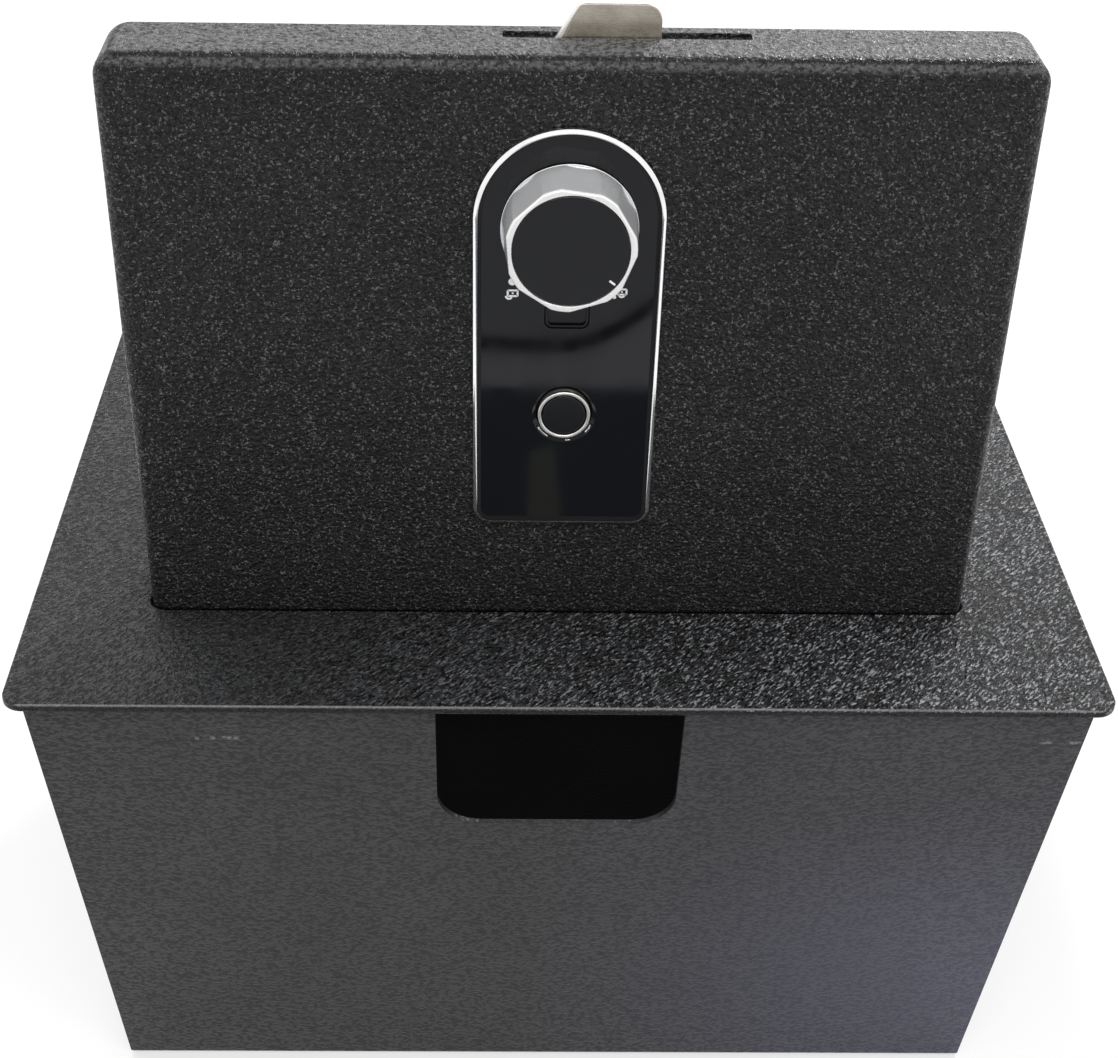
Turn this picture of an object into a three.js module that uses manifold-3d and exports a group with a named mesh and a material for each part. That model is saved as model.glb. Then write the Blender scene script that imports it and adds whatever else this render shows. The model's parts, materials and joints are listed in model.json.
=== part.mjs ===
// Console safe with its lid open, in millimetres, +Z up.
// The origin is at floor level, under the centre of the top plate. The front is towards -Y.
// Inside the lid group, x runs across, y is the depth behind the lid's outer face and z the height
// above the edge that carries the hinge.
import * as THREE from 'three';
import { mergeVertices } from 'three/addons/utils/BufferGeometryUtils.js';
import Module from 'manifold-3d';

const wasm = await Module();
wasm.setup();

// Driving dimensions: the safe
const safeHeight = 181;
const plateThickness = 2.7;
const plateCornerRadius = 4;
const frontStrip = 45.7;
const sideStrip = 34.9;
const rearStrip = 25.4;
const plateOverhang = 4.8;
const wallThickness = 2;
const frontTaper = 30.8;
const sideTaper = 8.2;
const rearTaper = 8.2;

// Driving dimensions: the lid and the lock panel on it
const panelWidth = 50;
const panelHeight = 117.3;
const panelSideMargin = 94.5;
const panelUpperMargin = 17.4;
const panelLowerMargin = 33.6;
const lidDepth = 23.4;
const lidSheet = 2.5;
const lidBendRadius = 3;
const lidCornerRadius = 4;

// Clearances
const seatGap = 0.3;
const slideGap = 0.2;
const openFaceGap = 0.4;
const openingSideGap = 1.1;
const rearSwingGap = 1.2;
const cutOverrun = 5;

// Smoothness of round edges
const coarseSegments = 16;
const fineSegments = 48;
const cornerSegments = 6;

// Sizes that follow from the driving dimensions
const axisSetback = 4.6;
const footBelowPlate = 1.6;
const lidWidth = panelWidth + 2 * panelSideMargin;
const lidHeight = panelLowerMargin + panelHeight + panelUpperMargin;
const footAboveAxis = axisSetback - footBelowPlate;
const lidReach = Math.hypot(lidHeight + footAboveAxis, lidDepth - axisSetback);
const plateWidth = lidWidth + 2 * (openingSideGap + sideStrip);
const plateDepth = frontStrip + openFaceGap + axisSetback + lidReach + rearSwingGap + rearStrip;
const plateFront = -plateDepth / 2;
const plateRear = plateDepth / 2;
const plateUnderside = safeHeight - plateThickness;
const openingHalfWidth = lidWidth / 2 + openingSideGap;
const openingFront = plateFront + frontStrip;
const openingRear = plateRear - rearStrip;
const lidFaceY = openingFront + openFaceGap;
const lidBottomZ = safeHeight - footBelowPlate;
const axisY = lidFaceY + axisSetback;
const axisZ = safeHeight - axisSetback;

// Materials
const finish = (color, roughness, metalness) => (
  new THREE.MeshStandardMaterial({ color, roughness, metalness })
);
const powderCoat = finish(0x2a2c2e, 0.62, 0.1);
const glossBlack = finish(0x08090a, 0.08, 0);
const chrome = finish(0xd8dadc, 0.08, 1);
const satinMetal = finish(0xb4b7ba, 0.32, 1);
const nickelSteel = finish(0x8c8374, 0.35, 1);
const zincSteel = finish(0x9a9da0, 0.4, 1);
const mattPlastic = finish(0x17181a, 0.6, 0);
const boardGreen = finish(0x16402a, 0.5, 0);
const batteryJacket = finish(0x3c4a58, 0.4, 0);
const brass = finish(0xb08d4a, 0.3, 1);
const rubber = finish(0x141414, 0.9, 0);
const foam = finish(0x202123, 0.95, 0);

// Shape helpers

function solidOf(geometry) {
  const bare = geometry.clone();
  bare.deleteAttribute('normal');
  bare.deleteAttribute('uv');
  const merged = mergeVertices(bare);
  return new wasm.Manifold(new wasm.Mesh({
    numProp: 3,
    vertProperties: new Float32Array(merged.attributes.position.array),
    triVerts: new Uint32Array(merged.index.array),
  }));
}

function geometryOf(solid) {
  const mesh = solid.getMesh();
  const geometry = new THREE.BufferGeometry();
  geometry.setAttribute('position', new THREE.BufferAttribute(mesh.vertProperties, mesh.numProp));
  geometry.setIndex(new THREE.BufferAttribute(mesh.triVerts, 1));
  geometry.computeVertexNormals();
  return geometry;
}

function cut(base, ...tools) {
  return tools.reduce((left, tool) => left.subtract(tool), base);
}

function join(base, ...others) {
  return others.reduce((sum, other) => sum.add(other), base);
}

// A box between two corners
function block([x0, x1], [y0, y1], [z0, z1]) {
  const box = new THREE.BoxGeometry(x1 - x0, y1 - y0, z1 - z0);
  return solidOf(box.translate((x0 + x1) / 2, (y0 + y1) / 2, (z0 + z1) / 2));
}

function extruded(shape, length, segments) {
  return new THREE.ExtrudeGeometry(shape, { depth: length, bevelEnabled: false, curveSegments: segments });
}

// A shape drawn in x and y, standing between two heights
function standing(shape, [z0, z1], segments = cornerSegments) {
  return solidOf(extruded(shape, z1 - z0, segments).translate(0, 0, z0));
}

// A shape drawn in x and z, running from front to back
function runningBack(shape, [y0, y1], segments = cornerSegments) {
  return solidOf(extruded(shape, y1 - y0, segments).rotateX(Math.PI / 2).translate(0, y1, 0));
}

// A shape drawn in y and z, running across
function runningAcross(shape, [x0, x1], segments = cornerSegments) {
  const turn = new THREE.Matrix4().makeBasis(
    new THREE.Vector3(0, 1, 0),
    new THREE.Vector3(0, 0, 1),
    new THREE.Vector3(1, 0, 0),
  );
  return solidOf(extruded(shape, x1 - x0, segments).applyMatrix4(turn).translate(x0, 0, 0));
}

function polygon(points) {
  return new THREE.Shape(points.map(([a, b]) => new THREE.Vector2(a, b)));
}

function roundedRect([a0, a1], [b0, b1], radius) {
  const shape = new THREE.Shape();
  shape.absarc(a1 - radius, b0 + radius, radius, -Math.PI / 2, 0);
  shape.absarc(a1 - radius, b1 - radius, radius, 0, Math.PI / 2);
  shape.absarc(a0 + radius, b1 - radius, radius, Math.PI / 2, Math.PI);
  shape.absarc(a0 + radius, b0 + radius, radius, Math.PI, 1.5 * Math.PI);
  shape.closePath();
  return shape;
}

// A body turned about its Y axis from [radius, y] points, anticlockwise when drawn
function turned(points, segments) {
  const profile = points.map(([radius, y]) => new THREE.Vector2(radius, y));
  return solidOf(new THREE.LatheGeometry(profile, segments));
}

function rod(radius, [y0, y1], segments = coarseSegments) {
  return turned([[0, y0], [radius, y0], [radius, y1], [0, y1]], segments);
}

function tube(outer, inner, [y0, y1], segments = coarseSegments) {
  return turned([[inner, y0], [outer, y0], [outer, y1], [inner, y1], [inner, y0]], segments);
}

const alongX = (solid) => solid.rotate([0, 0, -90]);
const alongZ = (solid) => solid.rotate([90, 0, 0]);

// A body lofted through closed loops of points; the first loop runs anticlockwise seen from outside
function loft(loops) {
  const count = loops[0].length;
  const indices = [];
  for (let ring = 0; ring + 1 < loops.length; ring += 1) {
    for (let i = 0; i < count; i += 1) {
      const here = ring * count + i;
      const next = ring * count + ((i + 1) % count);
      indices.push(here, here + count, next, next, here + count, next + count);
    }
  }
  const last = (loops.length - 1) * count;
  for (let i = 1; i + 1 < count; i += 1) {
    indices.push(0, i, i + 1, last, last + i + 1, last + i);
  }
  const geometry = new THREE.BufferGeometry();
  geometry.setAttribute('position', new THREE.Float32BufferAttribute(loops.flat(2), 3));
  geometry.setIndex(indices);
  return solidOf(geometry);
}

const safe = new THREE.Group();
const lid = new THREE.Group();
lid.position.set(0, lidFaceY, lidBottomZ);
safe.add(lid);

function addPiece(group, name, solid, material) {
  const mesh = new THREE.Mesh(geometryOf(solid), material);
  mesh.name = name;
  group.add(mesh);
}

// Top plate: the flat rim that rests on the console, with the opening that the lid closes
function topPlate() {
  const outline = roundedRect([-plateWidth / 2, plateWidth / 2], [plateFront, plateRear], plateCornerRadius);
  const opening = roundedRect(
    [-openingHalfWidth, openingHalfWidth],
    [openingFront, openingRear],
    lidCornerRadius + openingSideGap,
  );
  const plate = standing(outline, [plateUnderside, safeHeight]);
  return cut(plate, standing(opening, [plateUnderside - cutOverrun, safeHeight + cutOverrun]));
}

// Box below the plate: every wall leans in towards the floor
const boxTop = plateUnderside - seatGap;
const boxHalfWidth = plateWidth / 2 - plateOverhang;
const boxFront = plateFront + plateOverhang;
const boxRear = plateRear - plateOverhang;

const cutoutWidth = 70.4;
const cutoutDrop = 52.4;
const cutoutRadius = 13;
const anchorHoleRadius = 4;
const anchorFromSide = 45;
const anchorFromEnd = 55;
const matThickness = 4;
const matEdgeGap = 1;

function taperedBox(inset) {
  const loopAt = (halfWidth, front, rear, z) => [
    [-halfWidth, front, z],
    [-halfWidth, rear, z],
    [halfWidth, rear, z],
    [halfWidth, front, z],
  ];
  return loft([
    loopAt(boxHalfWidth - sideTaper - inset, boxFront + frontTaper, boxRear - rearTaper, 0),
    loopAt(boxHalfWidth - inset, boxFront, boxRear, boxTop),
  ]);
}

// The room between the folded sheet's front, floor and rear, seen from the side
function sideRoom(inset) {
  const frontWall = wallThickness * Math.hypot(1, frontTaper / boxTop) + inset;
  const rearWall = wallThickness * Math.hypot(1, rearTaper / boxTop) + inset;
  const floorShare = (wallThickness + inset) / boxTop;
  return runningAcross(polygon([
    [boxFront + frontTaper * (1 - floorShare) + frontWall, wallThickness + inset],
    [boxRear - rearTaper * (1 - floorShare) - rearWall, wallThickness + inset],
    [boxRear - rearWall, boxTop],
    [boxRear - rearWall, boxTop + cutOverrun],
    [boxFront + frontWall, boxTop + cutOverrun],
    [boxFront + frontWall, boxTop],
  ]), [-plateWidth, plateWidth]);
}

function anchorHoles(radius) {
  const holes = [];
  for (const x of [-1, 1]) {
    for (const y of [boxFront + frontTaper + anchorFromEnd, boxRear - rearTaper - anchorFromEnd]) {
      const hole = alongZ(rod(radius, [-cutOverrun, wallThickness + matThickness + cutOverrun]));
      holes.push(hole.translate([x * (boxHalfWidth - sideTaper - anchorFromSide), y, 0]));
    }
  }
  return holes;
}

function bodyWrap() {
  const cutoutLow = plateUnderside - cutoutDrop;
  const cutout = roundedRect(
    [-cutoutWidth / 2, cutoutWidth / 2],
    [cutoutLow, boxTop + cutoutRadius + cutOverrun],
    cutoutRadius,
  );
  return cut(
    taperedBox(0),
    sideRoom(0),
    runningBack(cutout, [plateFront, boxFront + frontTaper + cutOverrun], fineSegments / 4),
    ...anchorHoles(anchorHoleRadius),
  );
}

function sidePanel(side) {
  const wall = wallThickness * Math.hypot(1, sideTaper / boxTop);
  const halfSpan = [0, side * plateWidth].sort((a, b) => a - b);
  const half = block(halfSpan, [plateFront, plateRear], [-cutOverrun, safeHeight]);
  return taperedBox(0).intersect(sideRoom(seatGap)).intersect(half).subtract(taperedBox(wall));
}

// Floor mat of foam, with holes over the anchor holes
function floorMat() {
  const low = wallThickness + seatGap;
  const halfWidth = boxHalfWidth - sideTaper - 2 * wallThickness - matEdgeGap;
  const outline = polygon([
    [-halfWidth, boxFront + frontTaper + wallThickness + matEdgeGap],
    [halfWidth, boxFront + frontTaper + wallThickness + matEdgeGap],
    [halfWidth, boxRear - rearTaper - wallThickness - matEdgeGap],
    [-halfWidth, boxRear - rearTaper - wallThickness - matEdgeGap],
  ]);
  const mat = standing(outline, [low, low + matThickness]);
  return cut(mat, ...anchorHoles(anchorHoleRadius));
}


// Hinge: a rail under the front strip, two leaves with interleaved knuckles, and a pin
const hingeLength = 200;
const knuckleCount = 5;
const knuckleRadius = 2.5;
const knuckleSpacing = 0.4;
const hingePinRadius = 1.3;
const leafWidth = 17;
const leafThickness = 1.2;
const railBeyondHinge = 8;
const railWidth = 20;
const railThickness = 2;
const railDrop = 22;
const rivetRadius = 1.6;
const rivetHeadRadius = 3;
const rivetHeadHeight = 0.9;
const rivetsPerLeaf = 3;
const rivetMargin = 25;

const railLength = hingeLength + 2 * railBeyondHinge;
const movingLeafOffset = footAboveAxis - seatGap;
const fixedLeafOffset = axisSetback + openFaceGap - seatGap;
const pinBoreRadius = hingePinRadius + slideGap;
const knucklePitch = hingeLength / knuckleCount;
const rivetPlaces = Array.from({ length: rivetsPerLeaf }, (_, i) => (
  (i / (rivetsPerLeaf - 1) - 1 / 2) * (hingeLength - 2 * rivetMargin)
));
const rivetFromAxis = (knuckleRadius + leafWidth) / 2;

// Leaf drawn about the hinge axis: it lies behind the axis, its upper face at an offset above it
function hingeLeaf(firstKnuckle, offset) {
  const back = [knuckleRadius + seatGap, leafWidth];
  const rise = [offset - leafThickness, offset];
  let leaf = block([-hingeLength / 2, hingeLength / 2], back, rise);
  for (let i = firstKnuckle; i < knuckleCount; i += 2) {
    const start = -hingeLength / 2 + i * knucklePitch + knuckleSpacing / 2;
    const span = [start, start + knucklePitch - knuckleSpacing];
    leaf = join(
      leaf,
      alongX(rod(knuckleRadius, span)),
      block(span, [0, back[0] + leafThickness], [pinBoreRadius, offset]),
    );
  }
  const bore = alongX(rod(pinBoreRadius, [-hingeLength, hingeLength]));
  const holes = rivetPlaces.map((x) => (
    alongZ(rod(rivetRadius + slideGap, [-cutOverrun, cutOverrun])).translate([x, rivetFromAxis, offset])
  ));
  return cut(leaf, bore, ...holes);
}

// The fixed leaf has the same section, hanging down in front of the axis
const hangDown = (solid) => solid.rotate([90, 0, 0]).mirror([0, 0, 1]);

function hingeRail() {
  const backFace = -fixedLeafOffset - seatGap;
  const top = axisSetback - plateThickness - seatGap;
  const profile = polygon([
    [backFace, top],
    [backFace - railWidth, top],
    [backFace - railWidth, top - railThickness],
    [backFace - railThickness, top - railThickness],
    [backFace - railThickness, top - railDrop],
    [backFace, top - railDrop],
  ]);
  const holes = rivetPlaces.map((x) => (
    rod(rivetRadius + slideGap, [-cutOverrun, cutOverrun]).translate([x, backFace, -rivetFromAxis])
  ));
  return cut(runningAcross(profile, [-railLength / 2, railLength / 2]), ...holes);
}

// A rivet through a stack of sheets, its heads clear of both faces
function rivet(stackHeight) {
  const top = stackHeight + seatGap;
  return turned([
    [0, -seatGap - rivetHeadHeight],
    [rivetHeadRadius * 2 / 3, -seatGap - rivetHeadHeight],
    [rivetHeadRadius, -seatGap - rivetHeadHeight / 3],
    [rivetHeadRadius, -seatGap],
    [rivetRadius, -seatGap],
    [rivetRadius, top],
    [rivetHeadRadius, top],
    [rivetHeadRadius, top + rivetHeadHeight / 3],
    [rivetHeadRadius * 2 / 3, top + rivetHeadHeight],
    [0, top + rivetHeadHeight],
  ], coarseSegments);
}

// Keeper: the angle under the rear strip that the tongue turns in beneath
const keeperLength = 90;
const keeperWidth = 17;
const keeperThickness = 2.5;
const keeperFromOpening = 0.6;
const keeperToTongue = 0.6;

// Lid rests: angles hanging beside the opening, each with a rubber bumper under the lid's side edge
const restLength = 44;
const restThickness = 2;
const restFlange = 12;
const restFoot = 9;
const restFromOpening = 0.8;
const restFromRear = 40;
const bumperThickness = 1.8;
const bumperLength = 24;
const bumperWidth = 6;

const restFootTop = safeHeight - lidDepth - bumperThickness - 2 * seatGap;

function lidRest(side) {
  const wall = openingHalfWidth + restFromOpening;
  const top = plateUnderside - seatGap;
  const profile = polygon([
    [wall + restFlange, top],
    [wall + restFlange, top - restThickness],
    [wall + restThickness, top - restThickness],
    [wall + restThickness, restFootTop - restThickness],
    [wall - restFoot, restFootTop - restThickness],
    [wall - restFoot, restFootTop],
    [wall, restFootTop],
    [wall, top],
  ].map(([x, z]) => [side * x, z]));
  const rear = openingRear - restFromRear;
  return runningBack(profile, [rear - restLength, rear]);
}

function restBumper(side) {
  const outer = side * (openingHalfWidth - seatGap);
  const inner = side * (openingHalfWidth - seatGap - bumperWidth);
  const middle = openingRear - restFromRear - restLength / 2;
  const low = restFootTop + seatGap;
  return block(
    [Math.min(outer, inner), Math.max(outer, inner)],
    [middle - bumperLength / 2, middle + bumperLength / 2],
    [low, low + bumperThickness],
  );
}

// Lock panel: heights above the lid's hinge edge, depths behind the lid's outer face
const panelCornerRadius = 5;
const bezelBand = 1.2;
const bezelProud = 2.5;
const faceplateProud = 1.4;
const knobBelowArch = 2;
const knobBaseRadius = 17.9;
const knobFrontRadius = 16.9;
const knobProud = 15.5;
const knobStandOff = 0.5;
const knobEdge = 0.4;
const knobFlatCount = 7;
const knobFlatDegrees = 31;
const knobFirstFlatDegrees = 6;
const capRadius = 15;
const capThickness = 2.5;
const capEdge = 0.5;
const capSetback = 0.15;

const panelTop = lidHeight - panelUpperMargin;
const archHeight = panelTop - panelWidth / 2;
const knobHeight = archHeight - knobBelowArch;

// Key cylinder, spindle and what turns with them
const barrelRadius = 6.3;
const barrelDepth = 5.5;
const journalRadius = 4;
const threadRadius = 3;
const keyPlugRadius = 4.1;
const keyPlugDepth = 9;
const keySlotWidth = 1.2;
const keySlotHeight = 5;
const keySlotDepth = 6;
const discRadius = 9;
const discThickness = 3;
const notchDepth = 3.4;
const notchWidth = 3.8;
const washerRadius = 7;
const washerThickness = 1;
const nutWidth = 10;
const nutThickness = 2.6;
const threadBeyondNut = 0.4;

// Tongue: drawn about the knob's axis
const tongueThickness = 3;
const tongueProjection = 8.4;
const tongueHubRadius = 9.5;
const tongueRight = 22.4;
const tongueCornerRadius = 4.5;
const tongueTipLeft = 1.7;
const tongueSlantRun = 11.7;
const tongueSlantRise = 17.9;
const tongueShoulderRise = 30;
const slotLeft = 17.7;
const slotBeyondSweep = 8.2;
const slotBeforeTongue = 0.8;
const slotBehindTongue = 1;

// Lock housing and what it holds
const housingHalfWidth = 24;
const housingWall = 2;
const housingUpperDepth = 14.4;
const housingLowerDepth = 20.4;
const housingBackWall = 1.5;
const housingShelfBelowKnob = 29.2;
const discRoom = 5.8;
const housingCornerRadius = 3;
const screwBlock = 9.5;
const screwInset = 5;
const lowerScrewX = 19;
const upperScrewX = 13;
const screwRadius = 1.5;
const screwHeadRadius = 2.7;
const screwHeadHeight = 1.7;
const frontBayDepth = 8;
const batteryRadius = 5.15;
const batteryLength = 44;
const batteryTerminalRadius = 1.9;
const batteryTerminalHeight = 0.8;
const batterySpacing = 0.4;
const batteryPlay = 0.5;
const batteryCount = 4;
const contactThickness = 0.5;
const coverThickness = 1.5;
const coverOverlap = 1.5;
const boardThickness = 1.6;
const boardMargin = 2;
const boardSetback = 0.5;
const solenoidLength = 8.5;
const solenoidHalfHeight = 6;
const solenoidHalfDepth = 3.2;
const plungerRadius = 1.4;
const plungerClear = 0.6;
const plungerHeld = 5;

const bayHalfWidth = housingHalfWidth - housingWall;
const bayTop = knobHeight + discRadius + discRoom;
const housingTop = bayTop + screwBlock;
const housingShelf = knobHeight - housingShelfBelowKnob;
const batteryBayTop = housingShelf - housingWall;
const batteryBayFront = frontBayDepth + housingBackWall;
const batteryStack = batteryLength + batteryTerminalHeight + 2 * contactThickness + 4 * seatGap;
const bayBottom = batteryBayTop - batteryStack - batteryPlay;
const housingBottom = bayBottom - screwBlock;
const housingFront = lidSheet + seatGap;
const upperBayDepth = housingUpperDepth - housingBackWall;
const discFront = barrelDepth + seatGap;
const discMiddle = discFront + discThickness / 2;
const tongueFront = housingUpperDepth + slotBeforeTongue;
const tongueBack = tongueFront + tongueThickness;

// Fingerprint reader and power port
const readerBelowKnob = 54.9;
const readerRadius = 5.9;
const readerProud = 1.9;
const readerDepth = 5.4;
const readerFlange = 1.8;
const ringInnerRadius = 6.2;
const ringSleeveRadius = 6.8;
const ringOuterRadius = 7.28;
const ringFlange = 0.5;
const ringEdge = 0.25;
const ringReach = 1.8;
const portHalfWidth = 6;
const portHeight = 8;
const portBelowKnob = 28.7;
const portCorner = 2;
const portWall = 1.5;
const portDepth = 5.4;
const portFloor = 4;

const readerHeight = knobHeight - readerBelowKnob;
const portLow = knobHeight - portBelowKnob;

function atKnob(solid) {
  return solid.translate([0, 0, knobHeight]);
}

function panelOutline(inset) {
  const half = panelWidth / 2 - inset;
  const corner = panelCornerRadius - inset;
  const low = panelLowerMargin + inset;
  const shape = new THREE.Shape();
  shape.absarc(half - corner, low + corner, corner, -Math.PI / 2, 0);
  shape.absarc(0, archHeight, half, 0, Math.PI);
  shape.absarc(-half + corner, low + corner, corner, Math.PI, 1.5 * Math.PI);
  shape.closePath();
  return shape;
}

function portOutline(inset) {
  const half = portHalfWidth - inset;
  const low = portLow + inset;
  const high = portLow + portHeight - inset;
  return polygon([
    [-half + portCorner, low],
    [half - portCorner, low],
    [half, low + portCorner],
    [half, high],
    [-half, high],
    [-half, low + portCorner],
  ]);
}

const lowerScrews = { x: lowerScrewX, height: housingBottom + screwInset, seat: housingLowerDepth };
const upperScrews = { x: upperScrewX, height: housingTop - screwInset, seat: housingUpperDepth };
const screwPlaces = [
  { ...lowerScrews, name: 'lower_left', x: -lowerScrewX },
  { ...lowerScrews, name: 'lower_right' },
  { ...upperScrews, name: 'upper_left', x: -upperScrewX },
  { ...upperScrews, name: 'upper_right' },
];

function tongueSweep() {
  const tip = lidHeight - knobHeight + tongueProjection;
  return Math.hypot(tongueRight - tongueCornerRadius, tip - tongueCornerRadius) + tongueCornerRadius;
}

// Lid: a pan folded from sheet, rounded where the face turns into the rims
const bendSteps = 4;

function panLoop(inset, depth) {
  const half = lidWidth / 2 - inset;
  const radius = lidCornerRadius - inset;
  const loop = roundedRect([-half, half], [inset, lidHeight - inset], radius).getPoints(cornerSegments);
  const open = loop.slice(0, -1);
  return open.map((point) => [point.x, depth, point.y]);
}

function lidShell() {
  const loops = [];
  for (let step = 0; step <= bendSteps; step += 1) {
    const angle = (step / bendSteps) * Math.PI / 2;
    loops.push(panLoop(lidBendRadius * (1 - Math.sin(angle)), lidBendRadius * (1 - Math.cos(angle))));
  }
  loops.push(panLoop(0, lidDepth));
  const room = roundedRect(
    [-lidWidth / 2 + lidSheet, lidWidth / 2 - lidSheet],
    [lidSheet, lidHeight - lidSheet],
    lidCornerRadius - lidSheet,
  );
  const through = [-cutOverrun, lidSheet + cutOverrun];
  const sweepHalf = Math.sqrt(tongueSweep() ** 2 - (lidHeight - knobHeight - lidSheet) ** 2);
  const slot = block(
    [-slotLeft, sweepHalf + slotBeyondSweep],
    [tongueFront - slotBeforeTongue, tongueBack + slotBehindTongue],
    [lidHeight - lidSheet - cutOverrun, lidHeight + cutOverrun],
  );
  return cut(
    loft(loops),
    runningBack(room, [lidSheet, lidDepth + cutOverrun]),
    slot,
    atKnob(rod(barrelRadius + 2 * slideGap, through, fineSegments)),
    rod(ringSleeveRadius + slideGap, through, fineSegments).translate([0, 0, readerHeight]),
    runningBack(portOutline(-slideGap), through),
    ...screwPlaces.map(({ x, height }) => rod(screwRadius + slideGap, through).translate([x, 0, height])),
    ...rivetPlaces.map((x) => (
      alongZ(rod(rivetRadius + slideGap, through)).translate([x, axisSetback + rivetFromAxis, 0])
    )),
  );
}

function keeper() {
  const front = openingRear + keeperFromOpening;
  const top = plateUnderside - seatGap;
  const low = safeHeight - tongueFront + keeperToTongue;
  const profile = polygon([
    [front, low],
    [front + keeperThickness, low],
    [front + keeperThickness, top - keeperThickness],
    [front + keeperWidth, top - keeperThickness],
    [front + keeperWidth, top],
    [front, top],
  ]);
  const middle = (tongueRight + tongueTipLeft) / 2;
  return runningAcross(profile, [middle - keeperLength / 2, middle + keeperLength / 2]);
}

// Lock panel pieces on the lid's face

function lockBezel() {
  const through = [-bezelProud - cutOverrun, cutOverrun];
  const opening = runningBack(panelOutline(bezelBand), through, fineSegments / 2);
  return runningBack(panelOutline(0), [-bezelProud, -seatGap], fineSegments / 2).subtract(opening);
}

function lockFaceplate() {
  const through = [-cutOverrun, cutOverrun];
  const plate = runningBack(
    panelOutline(bezelBand + slideGap),
    [-faceplateProud, -seatGap],
    fineSegments / 2,
  );
  return cut(
    plate,
    atKnob(rod(barrelRadius + 2 * slideGap, through, fineSegments)),
    rod(ringSleeveRadius + slideGap, through, fineSegments).translate([0, 0, readerHeight]),
    runningBack(portOutline(0), through),
  );
}

function fingerprintRing() {
  const flangeBack = -faceplateProud - seatGap;
  const front = flangeBack - ringFlange;
  return turned([
    [ringInnerRadius, front],
    [ringOuterRadius - ringEdge, front],
    [ringOuterRadius, front + ringEdge],
    [ringOuterRadius, flangeBack],
    [ringSleeveRadius, flangeBack],
    [ringSleeveRadius, ringReach],
    [ringInnerRadius, ringReach],
    [ringInnerRadius, front],
  ], fineSegments).translate([0, 0, readerHeight]);
}

function fingerprintSensor() {
  const flangeFront = housingFront + seatGap;
  return turned([
    [0, -readerProud],
    [readerRadius, -readerProud],
    [readerRadius, flangeFront],
    [readerRadius + readerFlange, flangeFront],
    [readerRadius + readerFlange, readerDepth],
    [0, readerDepth],
  ], fineSegments).translate([0, 0, readerHeight]);
}

function powerPort() {
  const front = -faceplateProud + slideGap;
  const socket = runningBack(portOutline(slideGap), [front, portDepth]);
  return socket.subtract(runningBack(portOutline(portWall), [front - cutOverrun, portFloor]));
}

// Knob: a tapered ring whose flats fade out towards its base, a cap in its front and the key plug behind
const knobFront = -knobProud;
const knobBase = -faceplateProud - knobStandOff;
const knobRecessRadius = capRadius + slideGap;
const knobRecessFloor = knobFront + capSetback + capThickness + seatGap;

function knobRing() {
  const boreRadius = barrelRadius + slideGap;
  const ring = turned([
    [knobRecessRadius, knobFront],
    [knobFrontRadius - knobEdge, knobFront],
    [knobFrontRadius, knobFront + knobEdge],
    [knobBaseRadius, knobBase],
    [boreRadius, knobBase],
    [boreRadius, knobRecessFloor],
    [knobRecessRadius, knobRecessFloor],
    [knobRecessRadius, knobFront],
  ], 2 * fineSegments);
  const flatDistance = knobFrontRadius * Math.cos(THREE.MathUtils.degToRad(knobFlatDegrees / 2));
  const flatSection = polygon([
    [flatDistance, knobFront],
    [knobBaseRadius, knobBase],
    [knobBaseRadius + cutOverrun, knobBase],
    [knobBaseRadius + cutOverrun, knobFront - cutOverrun],
    [flatDistance, knobFront - cutOverrun],
  ]);
  const flat = standing(flatSection, [-knobBaseRadius / 2, knobBaseRadius / 2]);
  const flats = Array.from({ length: knobFlatCount }, (_, i) => (
    flat.rotate([0, knobFirstFlatDegrees + (i * 360) / knobFlatCount - 90, 0])
  ));
  return atKnob(cut(ring, ...flats));
}

function knobCap() {
  const front = knobFront + capSetback;
  return atKnob(turned([
    [0, front],
    [capRadius - capEdge, front],
    [capRadius, front + capEdge],
    [capRadius, front + capThickness],
    [0, front + capThickness],
  ], fineSegments));
}

function knobSpindle() {
  const boreRadius = keyPlugRadius + slideGap;
  const boreFloor = knobRecessFloor + keyPlugDepth + seatGap;
  const journalEnd = tongueFront - seatGap;
  const threadEnd = tongueBack + washerThickness + nutThickness + 2 * seatGap + threadBeyondNut;
  return atKnob(turned([
    [boreRadius, knobRecessFloor],
    [barrelRadius, knobRecessFloor],
    [barrelRadius, barrelDepth],
    [journalRadius, barrelDepth],
    [journalRadius, journalEnd],
    [threadRadius, journalEnd],
    [threadRadius, threadEnd],
    [0, threadEnd],
    [0, boreFloor],
    [boreRadius, boreFloor],
    [boreRadius, knobRecessFloor],
  ], fineSegments / 2));
}

function keyPlug() {
  const plug = rod(keyPlugRadius, [knobRecessFloor, knobRecessFloor + keyPlugDepth], fineSegments / 2);
  const keySlot = block(
    [-keySlotWidth / 2, keySlotWidth / 2],
    [knobRecessFloor - cutOverrun, knobRecessFloor + keySlotDepth],
    [-keySlotHeight / 2, keySlotHeight / 2],
  );
  return atKnob(plug.subtract(keySlot));
}

// Disc that the plunger locks, with a notch for each end of the knob's quarter turn
function blockingDisc() {
  const disc = tube(
    discRadius,
    journalRadius + slideGap,
    [discFront, discFront + discThickness],
    fineSegments / 2,
  );
  const notch = block(
    [-discRadius - cutOverrun, notchDepth - discRadius],
    [discFront - cutOverrun, discFront + discThickness + cutOverrun],
    [-notchWidth / 2, notchWidth / 2],
  );
  return atKnob(cut(disc, notch, notch.rotate([0, -90, 0])));
}

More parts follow.
